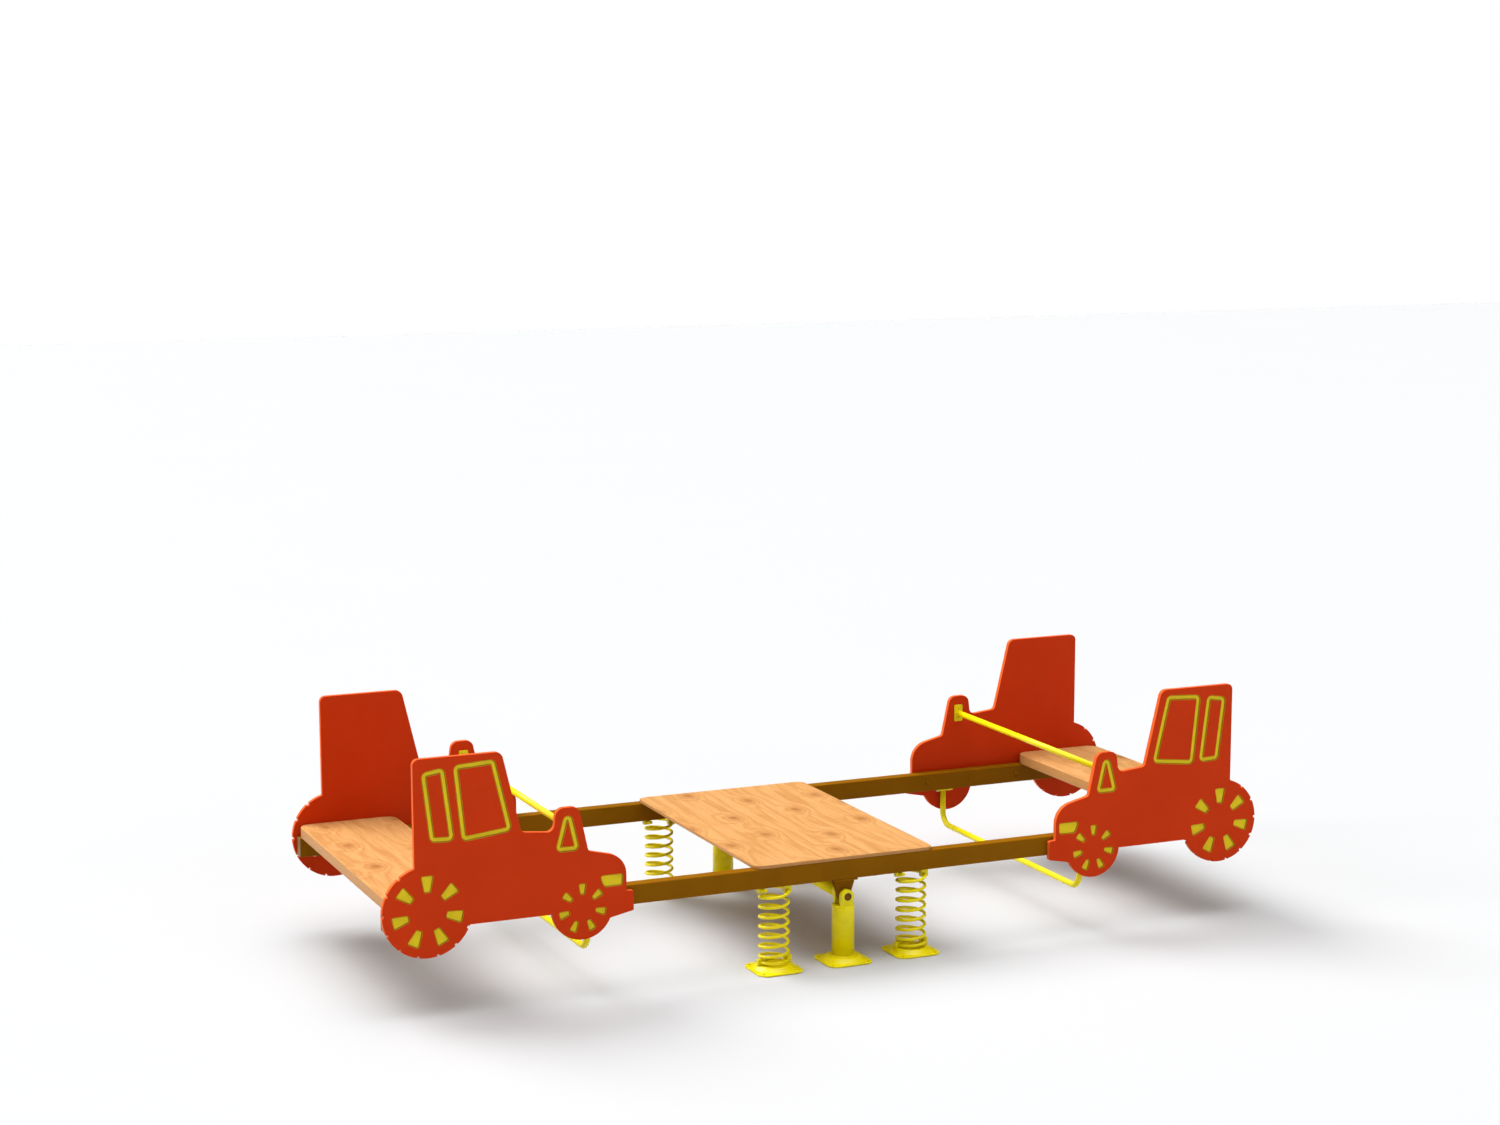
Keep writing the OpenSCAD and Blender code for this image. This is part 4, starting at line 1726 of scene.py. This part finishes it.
@dataclass
class Bars:
    """The handle bar and the footrest of each end."""

    tube: float = 21.3
    handle_x: float = 985.0
    handle_z: float = 566.0
    plate: Corner = (34.0, 64.0, 4.0)
    plate_corner: float = 6.0
    screw_z: float = 22.0
    screw_hole: float = 6.4
    screw_past_plate: float = 10.0
    footrest_x: float = 912.0
    footrest_z: float = 148.0
    bend: float = 52.0
    foot_plate: Corner = (66.0, 40.0, 5.0)
    foot_bolt_x: float = 22.0
    foot_bolt_hole: float = 8.4
    foot_bolt_shank: float = 17.0

    def build_handle(self, end: End) -> None:
        """Builds one handle bar with its end plates and welds.

        Args:
            end: its end.
        """
        middle, radius = shift(end.value * self.handle_x, 0, self.handle_z), self.tube / 2
        width, height, thick = self.plate
        reach = LAYOUT.rail_outer - thick
        forge = Forge(f"Handle_{end.word}").at(middle @ ALONG_Y)
        forge.lathe([(radius, -reach - 0.5), (radius, reach + 0.5)], 40)
        holes = [circle(self.screw_hole / 2, (0, way * self.screw_z), 20) for way in SIGNS]
        plate = rounded_box(width, height, self.plate_corner)
        for way in SIGNS:
            forge.at(middle @ Matrix.Diagonal((1, way, 1, 1)) @ ALONG_Y)
            forge.slab(plate, reach, LAYOUT.rail_outer, 0.9, holes, 0.4)
            forge.bead(radius + 0.5, reach - 0.6, 1.7, 60)
        stand_in(forge, Body.ROCKER, f"handle_{end.word}", YELLOW_COAT)

    def build_handle_screws(self, end: End) -> None:
        """Builds the screws of one handle bar's end plates.

        Args:
            end: its end.
        """
        x, thick = end.value * self.handle_x, self.plate[2]
        reach, shank = LAYOUT.rail_outer - thick, thick + self.screw_past_plate
        forge = Forge(f"Handle_screws_{end.word}")
        for way in SIGNS:
            for up in SIGNS:
                spot = shift(x, way * reach, self.handle_z + up * self.screw_z)
                ButtonScrew().draw(forge, spot @ tilt(-90 * way), shank)
        stand_in(forge, Body.ROCKER, f"handle_screws_{end.word}", YELLOW_COAT)

    def footrest_path(self, x: float) -> list[Vector]:
        """Draws the middle line of a footrest's tube.

        Args:
            x: X of the footrest.

        Returns:
            Its points, from the near rail to the far one.
        """
        y, bend = -LAYOUT.rail_y, self.bend
        top, corner_z = LAYOUT.rail_low - self.foot_plate[2] + 0.5, self.footrest_z + bend
        near = [Vector((x, y, top)), Vector((x, y, corner_z + 2))]
        near += [Vector((x, *p)) for p in arc((y + bend, corner_z), bend, 180, 270, 6)]
        return near + [Vector((x, -p.y, p.z)) for p in reversed(near)]

    def build_footrest(self, end: End) -> None:
        """Builds one footrest with its top plates, welds and bolts.

        Args:
            end: its end.
        """
        x = end.value * self.footrest_x
        length, width, thick = self.foot_plate
        low = LAYOUT.rail_low - thick
        forge = Forge(f"Footrest_{end.word}")
        forge.sweep(self.footrest_path(x), self.tube / 2, 32)
        plate = rounded_box(length, width, self.plate_corner)
        holes = [circle(self.foot_bolt_hole / 2, (way * self.foot_bolt_x, 0), 20) for way in SIGNS]
        for side in Side:
            forge.at(shift(x, side.value * LAYOUT.rail_y))
            forge.slab(plate, low, LAYOUT.rail_low, 1.0, holes, 0.4)
            forge.bead(self.tube / 2 + 0.5, low - 0.6, 1.8, 60)
        stand_in(forge, Body.ROCKER, f"footrest_{end.word}", YELLOW_COAT)
        forge = Forge(f"Footrest_bolts_{end.word}")
        for side in Side:
            for way in SIGNS:
                spot = shift(x + way * self.foot_bolt_x, side.value * LAYOUT.rail_y, low)
                HexBolt().draw(forge, spot, self.foot_bolt_shank)
        stand_in(forge, Body.ROCKER, f"footrest_bolts_{end.word}", ZINC)

    def build(self) -> None:
        """Builds both handles and both footrests."""
        for end in End:
            self.build_handle(end)
            self.build_handle_screws(end)
            self.build_footrest(end)


# ---------------------------------------------------------------- studio


@dataclass(frozen=True)
class Sun:
    """A distant soft light that shines along a direction."""

    name: str
    towards: tuple[float, float, float]
    strength: float
    softness: float

    def build(self) -> None:
        """Adds the light."""
        light = bpy.data.lights.new(self.name, "SUN")
        light.energy, light.angle = self.strength, math.radians(self.softness)
        lamp = bpy.data.objects.new(self.name, light)
        lamp.rotation_mode = "QUATERNION"
        lamp.rotation_quaternion = Vector(self.towards).to_track_quat("-Z", "Y")
        bpy.context.scene.collection.objects.link(lamp)


@dataclass
class Studio:
    """The pale floor, the soft light and the camera. Its places are in metres."""

    aim: tuple[float, float, float] = (-0.078, 0.083, 1.272)
    distance: float = 9.6
    bearing: float = -23.81
    elevation: float = 8.59
    roll: float = -0.06
    lens: float = 66.4
    film_width: float = 36.0
    sight: float = 200.0
    floor_size: float = 60.0
    floor_drop: float = 0.0005
    floor_colour: Colour = (0.498, 0.502, 0.508)
    floor_shares: Point = (0.995, 1.0)
    floor_clouds: float = 0.7
    floor_roughness: float = 0.85
    horizon: float = 0.04
    zenith: float = 6.2
    gathering: float = 9.0
    suns: tuple[Sun, ...] = (
        Sun("Back_light", (0.364, -0.582, -0.727), 2.7, 36),
        Sun("Side_light", (0.94, -0.08, -0.33), 1.2, 20),
        Sun("Front_fill", (-0.35, 0.93, -0.10), 0.8, 50))

    def build_floor(self) -> None:
        """Builds the floor."""
        bpy.ops.mesh.primitive_plane_add(size=self.floor_size, location=(0, 0, -self.floor_drop))
        floor = bpy.context.active_object
        floor.name = "Floor"
        kit = NodeKit("Pale_floor")
        clouds = kit.spread(kit.noise(kit.place(), self.floor_clouds, 2))
        tone = kit.mottle(clouds, self.floor_colour, self.floor_shares)
        made = kit.surface(Base_Color=tone, Roughness=self.floor_roughness)
        floor.data.materials.append(made)

    def build_world(self) -> None:
        """Builds a white backdrop, and a soft dome that is brightest overhead for the light."""
        world = bpy.data.worlds.new("Studio_sky")
        bpy.context.scene.world = world
        world.use_nodes = True
        tree = world.node_tree
        back = tree.nodes["Background"]
        back.inputs[0].default_value = (1.0, 1.0, 1.0, 1.0)
        kinds = ("TexCoord", "SeparateXYZ", "LightPath", "Math", "Math", "Math", "Mix")
        place, parts, seen, level, rise, dome, pick = (
            tree.nodes.new("ShaderNode" + kind) for kind in kinds)
        level.operation, rise.operation, dome.operation = "MAXIMUM", "POWER", "MULTIPLY_ADD"
        level.inputs[1].default_value = 0.0
        rise.inputs[1].default_value = self.gathering
        dome.inputs[1].default_value = self.zenith
        dome.inputs[2].default_value = self.horizon
        pick.inputs[3].default_value = 1.0
        for source, target in (
                (place.outputs["Generated"], parts.inputs[0]), (parts.outputs[2], level.inputs[0]),
                (level.outputs[0], rise.inputs[0]), (rise.outputs[0], dome.inputs[0]),
                (seen.outputs["Is Camera Ray"], pick.inputs[0]), (dome.outputs[0], pick.inputs[2]),
                (pick.outputs[0], back.inputs[1])):
            tree.links.new(source, target)

    def build_camera(self) -> None:
        """Builds the camera."""
        data = bpy.data.cameras.new("Camera")
        data.lens, data.sensor_width, data.clip_end = self.lens, self.film_width, self.sight
        camera = bpy.data.objects.new("Camera", data)
        bearing, rise = math.radians(self.bearing), math.radians(self.elevation)
        flat = math.cos(rise)
        back = Vector((math.sin(bearing) * flat, -math.cos(bearing) * flat, math.sin(rise)))
        roll = Matrix.Rotation(math.radians(self.roll), 3, "Z").to_quaternion()
        camera.location = Vector(self.aim) + back * self.distance
        camera.rotation_mode = "QUATERNION"
        camera.rotation_quaternion = (-back).to_track_quat("-Z", "Y") @ roll
        bpy.context.scene.collection.objects.link(camera)
        bpy.context.scene.camera = camera

    def build(self) -> None:
        """Builds the whole studio."""
        bpy.context.scene.view_settings.view_transform = "Standard"
        self.build_floor()
        self.build_world()
        for sun in self.suns:
            sun.build()
        self.build_camera()


def main() -> None:
    """Builds the studio, then the seesaw piece by piece."""
    logging.basicConfig(level=logging.INFO, format="%(message)s")
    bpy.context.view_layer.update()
    Studio().build()
    Base().build()
    RockingFrame().build()
    Boards().build()
    panel = TractorPanel()
    for side in Side:
        for end in End:
            panel.build(side, end)
            panel.build_bolts(side, end)
    Bars().build()


if __name__ == "__main__":
    main()
